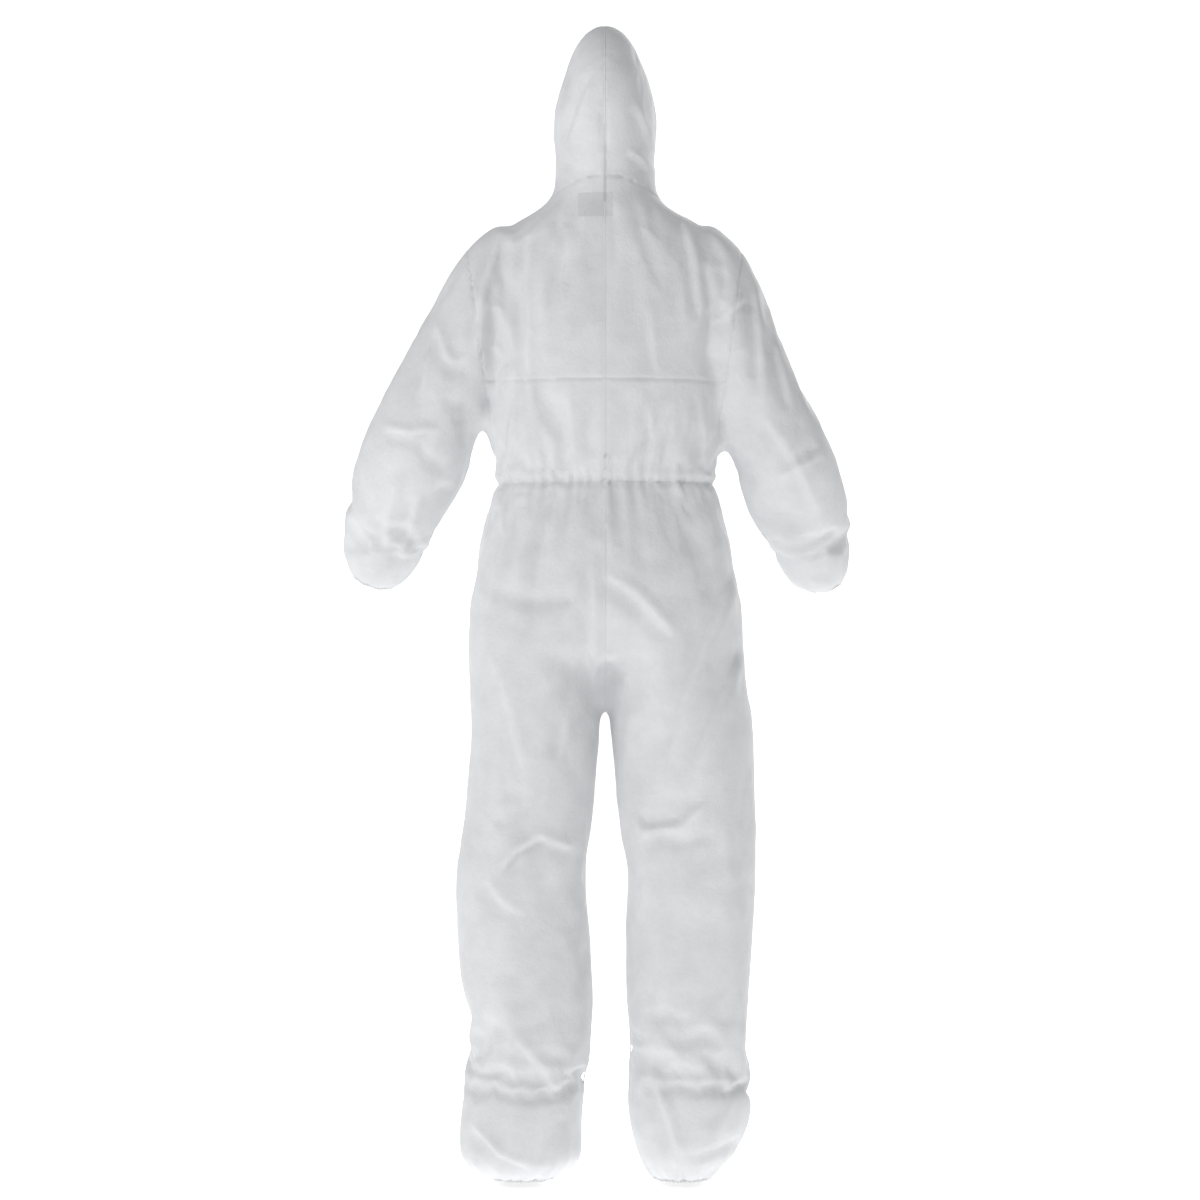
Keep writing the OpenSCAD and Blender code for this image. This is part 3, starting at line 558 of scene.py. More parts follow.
FRONT_FOLDS = [
    ([(0.110, -0.070), (0.125, -0.160), (0.120, -0.280)], 0.014, 0.0038, "crease"),
    ([(-0.105, -0.075), (-0.122, -0.170), (-0.116, -0.300)], 0.014, 0.0036, "crease"),
    ([(0.170, -0.120), (0.182, -0.180), (0.186, -0.260)], 0.012, 0.0044, "valley"),
    ([(-0.168, -0.125), (-0.180, -0.190), (-0.184, -0.270)], 0.012, 0.0044, "valley"),
    ([(0.090, -0.330), (0.100, -0.390), (0.094, -0.445)], 0.012, 0.0028, "crease"),
    ([(-0.088, -0.320), (-0.100, -0.385), (-0.104, -0.446)], 0.012, 0.0028, "crease"),
    ([(0.150, -0.560), (0.090, -0.650), (0.040, -0.720)], 0.016, 0.0044, "crease"),
    ([(-0.155, -0.570), (-0.100, -0.655), (-0.045, -0.725)], 0.016, 0.0044, "crease"),
    ([(0.180, -0.700), (0.130, -0.780), (0.060, -0.830)], 0.018, 0.0034, "crease"),
    ([(-0.182, -0.690), (-0.140, -0.780), (-0.070, -0.850)], 0.018, 0.0036, "crease"),
    ([(0.060, -1.080), (0.120, -1.120), (0.190, -1.100)], 0.014, 0.0040, "valley"),
    ([(-0.065, -1.070), (-0.125, -1.110), (-0.190, -1.085)], 0.014, 0.0040, "valley"),
    ([(0.080, -1.300), (0.110, -1.380), (0.160, -1.450)], 0.014, 0.0040, "crease"),
    ([(-0.080, -1.310), (-0.120, -1.390), (-0.165, -1.455)], 0.014, 0.0040, "crease"),
    ([(0.240, -0.360), (0.280, -0.400), (0.330, -0.405)], 0.012, 0.0046, "crease"),
    ([(-0.225, -0.360), (-0.265, -0.402), (-0.318, -0.405)], 0.012, 0.0046, "crease"),
    ([(0.265, -0.440), (0.310, -0.455), (0.350, -0.440)], 0.012, 0.0040, "valley"),
    ([(-0.250, -0.440), (-0.295, -0.455), (-0.335, -0.440)], 0.012, 0.0040, "valley"),
    ([(0.240, -0.180), (0.262, -0.250), (0.270, -0.320)], 0.013, 0.0036, "crease"),
    ([(-0.228, -0.180), (-0.250, -0.250), (-0.258, -0.320)], 0.013, 0.0036, "crease"),
    ([(0.050, 0.000), (0.062, 0.030), (0.064, 0.070)], 0.010, 0.0024, "crease"),
    ([(-0.050, 0.000), (-0.062, 0.032), (-0.064, 0.072)], 0.010, 0.0024, "crease"),
]
# %% Draw every fold
points, normals = read_points(garment), read_normals(garment)
for side, folds in ((1, BACK_FOLDS), (-1, FRONT_FOLDS)):
    for line, width, height, kind in folds:
        stroke(points, normals, line, width, height, kind, side)
print("folds drawn", len(BACK_FOLDS) + len(FRONT_FOLDS))

# %% [markdown]
# ## Pleats at the elastics, and the faint crumple of the cloth
# Elastic sewn on while stretched pulls the cloth into short pleats when it lets go. They run
# straight out of the waist, the cuffs and the hem, and die out within a few centimetres. Sums
# of a few waves with uneven lengths give pleats that never quite repeat.

# %% Pleats
def waves(angle, counts, phases):
    total = np.zeros(len(angle))
    for n, phase in zip(counts, phases):
        total += np.sin(n * angle + phase)
    return total / len(counts)


def pleat(co, no, here, angle, distance, reach, height, counts, phases):
    fade = np.exp(-np.abs(distance) / reach) * here
    co += no * (height * waves(angle, counts, phases) * fade)[:, None]


x, y, z = points[:, 0], points[:, 1], points[:, 2]
trunk = (np.abs(x) < 0.200 + 0.3 * np.maximum(0, -0.47 - z)) & (z < -0.36) & (z > -0.58)
around = np.arctan2(y, x)
back_only = smoothstep(y, -0.090, -0.030)
below = z < WAIST_LEVEL
pleat(points, normals, trunk * back_only, around, z - WAIST_LEVEL, 0.030, 0.0036,
      (31, 43, 57), (0.3, 1.9, 4.1))
pleat(points, normals, trunk * back_only * below, around + 0.6 * z, z - WAIST_LEVEL, 0.050, 0.0030,
      (19, 29), (2.2, 0.7))
band = np.exp(-((z - WAIST_LEVEL) / 0.007) ** 2) * trunk * back_only
points -= normals * (0.0042 * band)[:, None]
for side, leg in ((1, LEFT_LEG), (-1, RIGHT_LEG)):
    middle = leg[-2][1]
    on_leg = (side * x > 0) * (z < -1.40)
    turn = np.arctan2(y, x - middle)
    pleat(points, normals, on_leg, turn, z - HEM_LEVEL, 0.026, 0.0044, (11, 17, 23), (side, 2.0, 0.4))
    hand = mirror_side(WRIST, side)
    axis = mirror_side(FOREARM, side)
    away = (points - np.array(hand)) @ np.array(axis)
    on_arm = (side * x > 0.25) * (z > -0.66) * (z < -0.40)
    rest = points - np.array(hand) - away[:, None] * np.array(axis)
    turn = np.arctan2(rest[:, 1], side * rest[:, 0])
    pleat(points, normals, on_arm, turn, away, 0.022, 0.0036, (9, 14, 19), (side + 1.0, 0.5, 3.0))


def soft_noise(co, scale, seed):
    rng = np.random.default_rng(seed)
    total = np.zeros(len(co))
    for k in range(7):
        direction = rng.normal(size=3)
        direction /= np.linalg.norm(direction)
        warp = 1.6 * np.sin(co @ rng.normal(size=3) / (2.3 * scale) + rng.uniform(0, 6))
        total += np.sin(co @ direction / scale * rng.uniform(0.7, 1.4) * 2 * np.pi / 6 + warp)
    return total / 7


points += normals * (0.0011 * soft_noise(points, 0.012, 3) + 0.0016 * soft_noise(points, 0.030, 5))[:, None]
flatten_front(points)
write_points(garment, points)
print("pleats and crumple done, box", points.min(0).round(3), points.max(0).round(3))

# %% [markdown]
# ## Cutting the skin into its panels
# The skin is cut along the seam planes, so that every panel ends exactly at its seam. The cloth
# is sunk a little along each real seam, as stitching draws it in. Each face then goes to one
# panel by where its middle lies. All panels keep the normals of the whole skin, so that the
# places where a panel is divided only for a joint stay invisible.

# %% Cut along the seams
def arm_edge(z):
    return np.interp(-z, [0.372, 0.440, 0.480, 0.520, 0.600, 0.680],
                     [0.1845, 0.192, 0.207, 0.221, 0.242, 0.260])


def is_arm(c):
    x, z = abs(c.x), c.z
    if z < -0.66:
        return False
    if z > -0.372:
        return 0.991 * x - 0.134 * z > 0.2226
    return x > arm_edge(z)


def panel_of(c):
    side = "left" if c.x > 0 else "right"
    if (c - NECK_POINT).dot(NECK_NORMAL) > 0 and abs(c.x) < 0.12 and c.z > -0.1:
        return f"hood_{side}"
    if is_arm(c):
        sign = 1 if c.x > 0 else -1
        reach = (c - mirror_side(SHOULDER, sign)).dot(mirror_side(UPPER_ARM, sign))
        return f"upper_sleeve_{side}" if reach < SLEEVE_SPLIT else f"lower_sleeve_{side}"
    if c.z > WAIST_LEVEL:
        if c.y < 0:
            return f"front_{side}"
        return f"back_yoke_{side}" if c.z > YOKE_LEVEL else f"lower_back_{side}"
    return f"trousers_{side}" if c.z > KNEE_SPLIT else f"trouser_leg_{side}"


def cut(bm, point, normal, where):
    faces = [f for f in bm.faces if where(f.calc_center_median())]
    edges = {e for f in faces for e in f.edges}
    verts = {v for f in faces for v in f.verts}
    bmesh.ops.bisect_plane(bm, geom=faces + list(edges) + list(verts), dist=0.0004,
                           plane_co=point, plane_no=normal)


SEAMS = {
    "neck": (NECK_POINT, NECK_NORMAL, lambda c: abs(c.x) < 0.12 and c.z > -0.1),
    "centre": (Vector(), Vector((1, 0, 0)), lambda c: abs(c.x) < 0.02),
    "side": (Vector(), Vector((0, 1, 0)), lambda c: abs(c.x) < 0.215 and abs(c.y) < 0.02 and c.z > -0.47),
    "yoke": (Vector((0, 0, YOKE_LEVEL)), Vector((0, 0, 1)),
             lambda c: c.y > -0.01 and abs(c.x) < 0.20 and abs(c.z - YOKE_LEVEL) < 0.02),
    "waist": (Vector((0, 0, WAIST_LEVEL)), Vector((0, 0, 1)),
              lambda c: not is_arm(c) and abs(c.z - WAIST_LEVEL) < 0.02),
    "armhole_left": (ARMHOLE_POINT, ARMHOLE_NORMAL, lambda c: c.x > 0.15 and c.z > -0.372),
    "armhole_right": (mirror_side(ARMHOLE_POINT, -1), mirror_side(ARMHOLE_NORMAL, -1),
                      lambda c: c.x < -0.15 and c.z > -0.372),
}
def beside_zip(c):
    return c.y < -0.03 and abs(c.x) < 0.03 and ZIP_END - 0.02 < c.z < 0.0


HIDDEN_CUTS = [
    (SHOULDER + UPPER_ARM * SLEEVE_SPLIT, UPPER_ARM, lambda c: c.x > 0 and is_arm(c)),
    (mirror_side(SHOULDER + UPPER_ARM * SLEEVE_SPLIT, -1), mirror_side(UPPER_ARM, -1),
     lambda c: c.x < 0 and is_arm(c)),
    (Vector((0, 0, KNEE_SPLIT)), Vector((0, 0, 1)), lambda c: abs(c.z - KNEE_SPLIT) < 0.02),
    (Vector((SLOT_HALF, 0, 0)), Vector((1, 0, 0)), beside_zip),
    (Vector((-SLOT_HALF, 0, 0)), Vector((1, 0, 0)), beside_zip),
    (Vector((0, 0, ZIP_END)), Vector((0, 0, 1)),
     lambda c: c.y < 0 and abs(c.x) < 0.03 and abs(c.z - ZIP_END) < 0.02),
]
bm = bmesh.new()
bm.from_mesh(garment.data)
for point, normal, where in [*SEAMS.values(), *HIDDEN_CUTS]:
    cut(bm, point, normal, where)
bm.faces.ensure_lookup_table()
print("faces after cutting", len(bm.faces))

# %% Find the seam lines
ON_PLANE = 0.0006


def on_seam(edge, name):
    point, normal, _ = SEAMS[name]
    if any(abs((v.co - point).dot(normal)) > ON_PLANE for v in edge.verts):
        return False
    if len(edge.link_faces) != 2:
        return False
    a, b = (panel_of(f.calc_center_median()) for f in edge.link_faces)
    return a != b


def chain(edges):
    """Joins loose edges into lines of vertices, longest first."""
    links = {}
    for e in edges:
        a, b = e.verts
        links.setdefault(a, []).append(b)
        links.setdefault(b, []).append(a)
    lines, used = [], set()
    for start in sorted(links, key=lambda v: (len(links[v]) != 1, v.index)):
        if start in used:
            continue
        line, here = [start], start
        used.add(start)
        while True:
            ahead = [v for v in links[here] if v not in used]
            if not ahead:
                break
            here = ahead[0]
            used.add(here)
            line.append(here)
        closed = len(line) > 3 and line[0] in links[line[-1]]
        lines.append((line, closed))
    return sorted(lines, key=lambda l: -len(l[0]))


bm.verts.index_update()
bm.normal_update()
seam_lines = {}
for name in SEAMS:
    edges = [e for e in bm.edges if on_seam(e, name)]
    for n, (line, closed) in enumerate(chain(edges)[:4]):
        if len(line) > 12:
            seam_lines[f"{name}_{n}"] = (line, closed)
for v in {v for line, _ in seam_lines.values() for v in line}:
    v.co -= v.normal * 0.0011
print("seam lines", {k: len(l) for k, (l, _) in seam_lines.items()})

# %% [markdown]
# ## Openings
# The cuffs, the hem and the face are left open. The faces past each opening's edge are removed,
# and the vertices left on the edge are moved exactly onto it, which leaves a clean round rim.
# The strip of cloth in front of the zip goes too, since the fronts end beside the teeth.

# %% Cut the openings
FACE_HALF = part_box("face_elastic")[1].x - 0.009
FACE_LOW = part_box("face_elastic")[0].z + 0.009 + FACE_HALF
FACE_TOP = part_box("face_elastic")[1].z - 0.009 - FACE_HALF


def face_distance(p):
    """Distance from the rim of the face opening, seen from the front; negative inside."""
    z = min(max(p.z, FACE_LOW), FACE_TOP)
    return math.hypot(p.x, p.z - z) - FACE_HALF


def face_rim_point(p):
    z = min(max(p.z, FACE_LOW), FACE_TOP)
    d = Vector((p.x, 0, p.z - z))
    d = d.normalized() * FACE_HALF if d.length > 1e-6 else Vector((FACE_HALF, 0, 0))
    return Vector((d.x, p.y, z + d.z))


cuff_ends = {1: mirror_side(WRIST, 1) + FOREARM * -0.004,
             -1: mirror_side(WRIST, -1) + mirror_side(FOREARM, -1) * 0.001}


def outside(c):
    if c.z < HEM_LEVEL:
        return "hem"
    if c.y < 0 and c.z > 0 and face_distance(c) < 0:
        return "face"
    if c.y < -0.03 and abs(c.x) < SLOT_HALF and ZIP_END < c.z < -0.016:
        return "slot"
    side = 1 if c.x > 0 else -1
    if abs(c.x) > 0.25 and c.z > -0.7 and (c - cuff_ends[side]).dot(mirror_side(FOREARM, side)) > 0:
        return "cuff"
    return None


gone = {}
for f in bm.faces:
    reason = outside(f.calc_center_median())
    if reason:
        gone.setdefault(reason, []).append(f)
rim_kind = {}
for reason, faces in gone.items():
    lost = set(faces)
    for f in faces:
        for v in f.verts:
            if any(g not in lost for g in v.link_faces):
                rim_kind[v] = reason
bmesh.ops.delete(bm, geom=[f for faces in gone.values() for f in faces], context="FACES")
for v, reason in rim_kind.items():
    if not v.is_valid:
        continue
    if reason == "face":
        v.co = face_rim_point(v.co)
    elif reason == "hem":
        v.co.z = HEM_LEVEL
    elif reason == "cuff":
        side = 1 if v.co.x > 0 else -1
        axis = mirror_side(FOREARM, side)
        v.co -= axis * (v.co - cuff_ends[side]).dot(axis)
for _ in range(3):
    rims = [v for v, reason in rim_kind.items() if v.is_valid and reason in ("face", "hem", "cuff")]
    moved = {}
    for v in rims:
        near = [e.other_vert(v) for e in v.link_edges if e.is_boundary]
        if len(near) == 2:
            moved[v] = (v.co * 2 + near[0].co + near[1].co) / 4
    for v, co in moved.items():
        v.co = co
print("faces removed", {k: len(v) for k, v in gone.items()})

# %% [markdown]
# ## From skin to cloth
# Each panel gets the thickness of real cloth: an outer layer, an inner layer 0.6 mm inside it and
# a rim that joins them. The sleeves, the trousers and the hood cross a joint, so they bend
# between two bodies. The slab where they bend is wide enough to fold softly, and starts at the
# seam, so that the panel on the other side of the seam needs no bend of its own.

# %% Make the panels
CLOTH = 0.0006
bm.normal_update()
bm.verts.index_update()
bm.faces.index_update()
skin_points = np.array([v.co for v in bm.verts])
skin_normals = np.array([v.normal for v in bm.verts])
panel_faces = {}
for f in bm.faces:
    panel_faces.setdefault(panel_of(f.calc_center_median()), []).append([v.index for v in f.verts])


def thicken(name, faces, thickness=CLOTH):
    """A closed sheet from faces of the skin, with an inner layer and rims."""
    used = sorted({i for f in faces for i in f})
    order = {i: k for k, i in enumerate(used)}
    outer = skin_points[used]
    normals = skin_normals[used]
    count = len(used)
    quads = [[order[i] for i in f] for f in faces]
    inner = [[i + count for i in reversed(f)] for f in quads]
    borders = {}
    for f in quads:
        for a, b in zip(f, f[1:] + f[:1]):
            if (b, a) in borders:
                del borders[(b, a)]
            else:
                borders[(a, b)] = True
    rims = [[b, a, a + count, b + count] for a, b in borders]
    mesh = bpy.data.meshes.new(name)
    mesh.from_pydata(np.vstack([outer, outer - normals * thickness]).tolist(), [], quads + inner + rims)
    mesh.polygons.foreach_set("use_smooth", [True] * len(mesh.polygons))
    mesh.normals_split_custom_set_from_vertices(np.vstack([normals, -normals]).tolist())
    piece = bpy.data.objects.new(name, mesh)
    bpy.context.scene.collection.objects.link(piece)
    return piece


def measure(piece):
    co = read_points(piece)
    area = sum(p.area for p in piece.data.polygons) / 2
    size = co.max(0) - co.min(0)
    return round(area, 3), [round(float(v), 3) for v in size]


# %% Name each panel and make it follow its bodies
PANEL_NODES = {
    "hood": ["hood_{s}_panel"], "back_yoke": ["back_yoke_{s}"], "lower_back": ["lower_back_{s}"],
    "front": ["front_{s}"], "trousers": ["seat_{s}", "trouser_front_{s}", "thigh_{s}"],
    "trouser_leg": ["shin_{s}"], "upper_sleeve": ["upper_sleeve_{s}"], "lower_sleeve": ["lower_sleeve_{s}"],
}
panels = {}
for kind, nodes in PANEL_NODES.items():
    for word, side in (("left", 1), ("right", -1)):
        name = f"{kind}_{word}"
        piece = thicken(f"{name}_cloth", panel_faces[name])
        panels[name] = piece
        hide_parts(*[n.format(s=word) for n in nodes])
        if kind == "hood":
            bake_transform(piece, "torso", "hood", NECK_POINT, NECK_POINT + NECK_NORMAL * 0.06)
        elif kind == "upper_sleeve":
            start = mirror_side(ARMHOLE_POINT, side)
            end = start + mirror_side(ARMHOLE_NORMAL, side) * 0.07
            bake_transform(piece, "torso", f"{word}_upper_sleeve", start, end)
        elif kind == "lower_sleeve":
            middle = mirror_side(ELBOW, side)
            along = mirror_side((UPPER_ARM + FOREARM).normalized(), side)
            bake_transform(piece, f"{word}_upper_sleeve", f"{word}_lower_sleeve",
                     middle + along * 0.007, middle + along * 0.080)
        elif kind == "trousers":
            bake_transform(piece, "torso", f"{word}_thigh", (side * 0.020, 0, -0.700), (side * 0.130, 0, -0.830))
        elif kind == "trouser_leg":
            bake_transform(piece, f"{word}_thigh", f"{word}_shin", (0, 0, -1.000), (0, 0, -1.120))
        else:
            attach(piece, "torso")
        print(name, len(piece.data.polygons), "faces, area and size", *measure(piece))

# %% [markdown]
# ## Sewn seam lines
# On the outside a sewn seam shows as a fine ridge in a shallow groove, with its stitches across
# it. Each seam line found in the skin gets a narrow ridge with a rounded top, which follows the
# cloth exactly. A line that crosses a joint is divided where its panels are, and bends as they do.

# %% Seam ridges
def ridge(name, points, normals, width, height, closed=False, sink=0.0004):
    """A narrow rounded strip along a line of points, with its length kept as a UV for the stitches."""
    p, n = np.array(points), np.array(normals)
    ahead = np.roll(p, -1, axis=0) - np.roll(p, 1, axis=0)
    if not closed:
        ahead[0], ahead[-1] = p[1] - p[0], p[-1] - p[-2]
    ahead /= np.maximum(np.linalg.norm(ahead, axis=1, keepdims=True), 1e-9)
    side = np.cross(ahead, n)
    side /= np.maximum(np.linalg.norm(side, axis=1, keepdims=True), 1e-9)
    shape = [(-1, -0.6), (-0.8, 0.4), (-0.3, 1.0), (0.3, 1.0), (0.8, 0.4), (1, -0.6)]
    verts = []
    for i in range(len(p)):
        for a, b in shape:
            verts.append(p[i] + side[i] * a * width / 2 + n[i] * (b * height - sink))
    k = len(shape)
    faces, spans = [], []
    run = [0.0]
    for i in range(len(p)):
        run.append(run[-1] + float(np.linalg.norm(p[(i + 1) % len(p)] - p[i])))
    for i in range(len(p) if closed else len(p) - 1):
        j = (i + 1) % len(p)
        for a in range(k):
            b = (a + 1) % k
            faces.append([i * k + a, i * k + b, j * k + b, j * k + a])
            spans.append(((run[i], a), (run[i], a + 1), (run[i + 1], a + 1), (run[i + 1], a)))
    if not closed:
        faces.append(list(range(k))[::-1])
        faces.append([(len(p) - 1) * k + a for a in range(k)])
        spans += [tuple((0, a) for a in range(k))] * 2
    mesh = bpy.data.meshes.new(name)
    mesh.from_pydata(verts, [], faces)
    layer = mesh.uv_layers.new(name="along")
    layer.data.foreach_set("uv", [c for s in spans for u, v in s for c in (u, v / k)])
    bmr = bmesh.new()
    bmr.from_mesh(mesh)
    bmesh.ops.recalc_face_normals(bmr, faces=bmr.faces)
    bmr.to_mesh(mesh)
    bmr.free()
    mesh.polygons.foreach_set("use_smooth", [True] * len(mesh.polygons))
    piece = bpy.data.objects.new(name, mesh)
    bpy.context.scene.collection.objects.link(piece)
    return piece


def follow(piece, panel):
    """Rides or blends as a panel does."""
    model = panels[panel]
    if "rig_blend" not in model:
        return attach(piece, "torso")
    side = 1 if panel.endswith("left") else -1
    word = "left" if side > 0 else "right"
    if panel.startswith("hood"):
        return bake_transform(piece, "torso", "hood", NECK_POINT, NECK_POINT + NECK_NORMAL * 0.06)
    if panel.startswith("trousers"):
        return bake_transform(piece, "torso", f"{word}_thigh", (side * 0.020, 0, -0.700), (side * 0.130, 0, -0.830))
    if panel.startswith("trouser_leg"):
        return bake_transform(piece, f"{word}_thigh", f"{word}_shin", (0, 0, -1.000), (0, 0, -1.120))
    middle = mirror_side(ELBOW, side)
    along = mirror_side((UPPER_ARM + FOREARM).normalized(), side)
    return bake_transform(piece, f"{word}_upper_sleeve", f"{word}_lower_sleeve",
                    middle + along * 0.007, middle + along * 0.080)


def centre_part(v):
    if (v.co - NECK_POINT).dot(NECK_NORMAL) > 0.001 and v.co.y > -0.06 and v.co.z > -0.05:
        return "hood"
    if v.co.y > 0 and v.co.z > WAIST_LEVEL:
        return "back"
    if v.co.z <= WAIST_LEVEL and (v.co.y > 0 or v.co.z < ZIP_END - 0.004):
        return "seat"
    return None


def runs(line, label):
    found, last = [], None
    for v in line:
        here = label(v) if v.is_valid else None
        if here is None:
            last = None
            continue
        if here != last:
            found.append((here, []))
        found[-1][1].append(v)
        last = here
    return [(k, vs) for k, vs in found if len(vs) > 5]


# %% Lay the seams of the body
seam_pieces = []


def seam_piece(name, vs, closed, nodes, panel="back_yoke_left", width=0.0030, height=0.0009):
    kept = [v for v in vs if v.is_valid]
    closed = closed and len(kept) == len(vs)
    vs = kept
    piece = ridge(name, [v.co for v in vs], [v.normal for v in vs], width, height, closed)
    follow(piece, panel)
    if nodes:
        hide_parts(*nodes)
    seam_pieces.append(piece)
    return piece


line, closed = seam_lines["neck_0"]
seam_piece("neck_seam_line", line, closed, ["neck_seam"])
for name, nodes in (("yoke_0", ["yoke_seam"]), ("armhole_left_0", ["armhole_seam_left"]),
                    ("armhole_right_0", ["armhole_seam_right"])):
    line, closed = seam_lines[name]
    seam_piece(f"{name[:-2]}_seam_line", line, closed, nodes)
parts = {"hood": ("hood_seam_line", ["hood_centre_seam"], "hood_left"),
         "back": ("centre_back_seam_line", ["centre_back_seam"], "back_yoke_left"),
         "seat": ("seat_seam_line", ["seat_seam", "crotch_seam"], "back_yoke_left")}
for part, vs in runs(seam_lines["centre_0"][0], centre_part):
    name, nodes, panel = parts[part]
    if name in bpy.data.objects:
        continue
    seam_piece(name, vs, False, nodes, panel, height=0.0012 if part == "hood" else 0.0009)
waist_line, closed = seam_lines["waist_0"]
for part, vs in runs(waist_line, lambda v: "front" if v.co.y < -0.075 else "back"):
    if part == "back" and "waist_line" not in bpy.data.objects:
        seam_piece("waist_line", vs, False, ["waist_elastic"], width=0.0060, height=0.0010)
for name in [k for k in seam_lines if k.startswith("side")]:
    line, closed = seam_lines[name]
    if not all(v.is_valid for v in line):
        continue
    word = "left" if line[0].co.x > 0 else "right"
    kind = "shoulder" if line[0].co.z > -0.2 else "side"
    if f"{kind}_seam_line_{word}" not in bpy.data.objects:
        seam_piece(f"{kind}_seam_line_{word}", line, closed, [f"side_seam_{word}"] if kind == "side" else [])
print("seam ridges", len(seam_pieces))

# %% [markdown]
# ## Inside leg and underarm seams
# The trouser legs and the sleeves are tubes, each closed by one long seam on its inner side.
# These ridges are laid on the finished skin: a row of points down the inside of the limb is
# moved onto the nearest cloth, and the ridge follows them.

# %% Long seams of the limbs
from mathutils.kdtree import KDTree

tree = KDTree(len(skin_points))
for i, p in enumerate(skin_points):
    tree.insert(p, i)
tree.balance()


def skin_at(p):
    near = tree.find_n(p, 4)
    weights = [1 / (d + 0.0008) for _, _, d in near]
    total = sum(weights)
    co = sum((Vector(skin_points[i]) * w for (_, i, _), w in zip(near, weights)), Vector()) / total
    no = sum((Vector(skin_normals[i]) * w for (_, i, _), w in zip(near, weights)), Vector()).normalized()
    return co, no


def laid_seam(name, guide, panel, nodes):
    points, normals = [], []
    for p in guide:
        co, no = skin_at(p)
        points.append(co)
        normals.append(no)
    for _ in range(2):
        points = [points[0]] + [(points[i - 1] + points[i] * 2 + points[i + 1]) / 4
                                for i in range(1, len(points) - 1)] + [points[-1]]
    piece = ridge(name, points, normals, 0.0030, 0.0010)
    follow(piece, panel)
    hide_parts(*nodes)
    seam_pieces.append(piece)


def leg_inside(rows, z):
    zs = [-r[0] for r in rows]
    return (np.interp(-z, zs, [r[1] for r in rows]), np.interp(-z, zs, [r[2] for r in rows]))


for word, side, rows in (("left", 1, LEFT_LEG), ("right", -1, RIGHT_LEG)):
    for part, top, bottom, panel, node in (
            ("thigh", -0.775, KNEE_SPLIT + 0.001, "trousers", "thigh_inseam"),
            ("shin", KNEE_SPLIT, HEM_LEVEL + 0.006, "trouser_leg", "shin_inseam")):
        guide = []
        for k in range(61):
            z = top + (bottom - top) * k / 60
            middle, half = leg_inside(rows, z)
            guide.append(Vector((middle - side * half, 0.0, z)))
        laid_seam(f"{part}_inseam_line_{word}", guide, f"{panel}_{word}", [f"{node}_{word}"])
    guide = []
    for k in range(46):
        along = 0.02 + 0.225 * k / 45
        centre = mirror_side(ELBOW + FOREARM * along, side)
        guide.append(centre + Vector((-side * 0.066, 0, 0)))
    laid_seam(f"underarm_seam_line_{word}", guide, f"lower_sleeve_{word}", [f"sleeve_seam_{word}"])
print("seam ridges in all", len(seam_pieces))

# %% [markdown]
# ## Gathered edges
# The cuffs, the hem and the face opening end in a narrow casing with elastic inside. It shows as
# a soft roll around the opening, drawn into small even ruffles. The roll is a tube that follows
# the cut rim of the skin, and its radius swells and shrinks along the way.

# %% Rolls with elastic
def rim_loops(reason):
    edges = [e for e in bm.edges if e.is_boundary and all(rim_kind.get(v) == reason for v in e.verts)]
    return [line for line, closed in chain(edges) if len(line) > 12]


def roll(name, line, radius, ruffle, pitch, inward):
    p = np.array([v.co for v in line])
    for _ in range(2):
        p = (np.roll(p, 1, axis=0) + 2 * p + np.roll(p, -1, axis=0)) / 4
    lengths = np.linalg.norm(np.roll(p, -1, axis=0) - p, axis=1)
    total = lengths.sum()
    stops = np.concatenate([[0], np.cumsum(lengths)])
    count = max(96, int(total / pitch) * 6)
    s = np.linspace(0, total, count, endpoint=False)
    closed_p = np.vstack([p, p[:1]])
    q = np.stack([np.interp(s, stops, closed_p[:, a]) for a in range(3)], axis=1)
    ahead = np.roll(q, -1, axis=0) - np.roll(q, 1, axis=0)
    ahead /= np.linalg.norm(ahead, axis=1, keepdims=True)
    out = q - q.mean(0)
    out -= ahead * (out * ahead).sum(1, keepdims=True)
    out /= np.linalg.norm(out, axis=1, keepdims=True)
    up = np.cross(ahead, out)
    waves_n = round(total / pitch)
    turn = 2 * np.pi * s / total
    swell = 1 + ruffle * (0.7 * np.sin(waves_n * turn) + 0.3 * np.sin(1.63 * waves_n * turn + 1.0))
    sides = 12
    verts, faces, uvs = [], [], []
    for i in range(count):
        for k in range(sides):
            a = 2 * np.pi * k / sides
            r = radius * swell[i]
            verts.append(q[i] + out[i] * (r * math.cos(a) - inward) + up[i] * r * 1.3 * math.sin(a))
    for i in range(count):
        j = (i + 1) % count
        for k in range(sides):
            n = (k + 1) % sides
            faces.append([i * sides + k, i * sides + n, j * sides + n, j * sides + k])
            u0, u1 = s[i], s[i] + total / count
            uvs += [u0, k / sides, u0, (k + 1) / sides, u1, (k + 1) / sides, u1, k / sides]
    mesh = bpy.data.meshes.new(name)
    mesh.from_pydata(verts, [], faces)
    mesh.uv_layers.new(name="along").data.foreach_set("uv", uvs)
    fresh = bmesh.new()
    fresh.from_mesh(mesh)
    bmesh.ops.recalc_face_normals(fresh, faces=fresh.faces)
    fresh.to_mesh(mesh)
    fresh.free()
    mesh.polygons.foreach_set("use_smooth", [True] * len(mesh.polygons))
    piece = bpy.data.objects.new(name, mesh)
    bpy.context.scene.collection.objects.link(piece)
    return piece


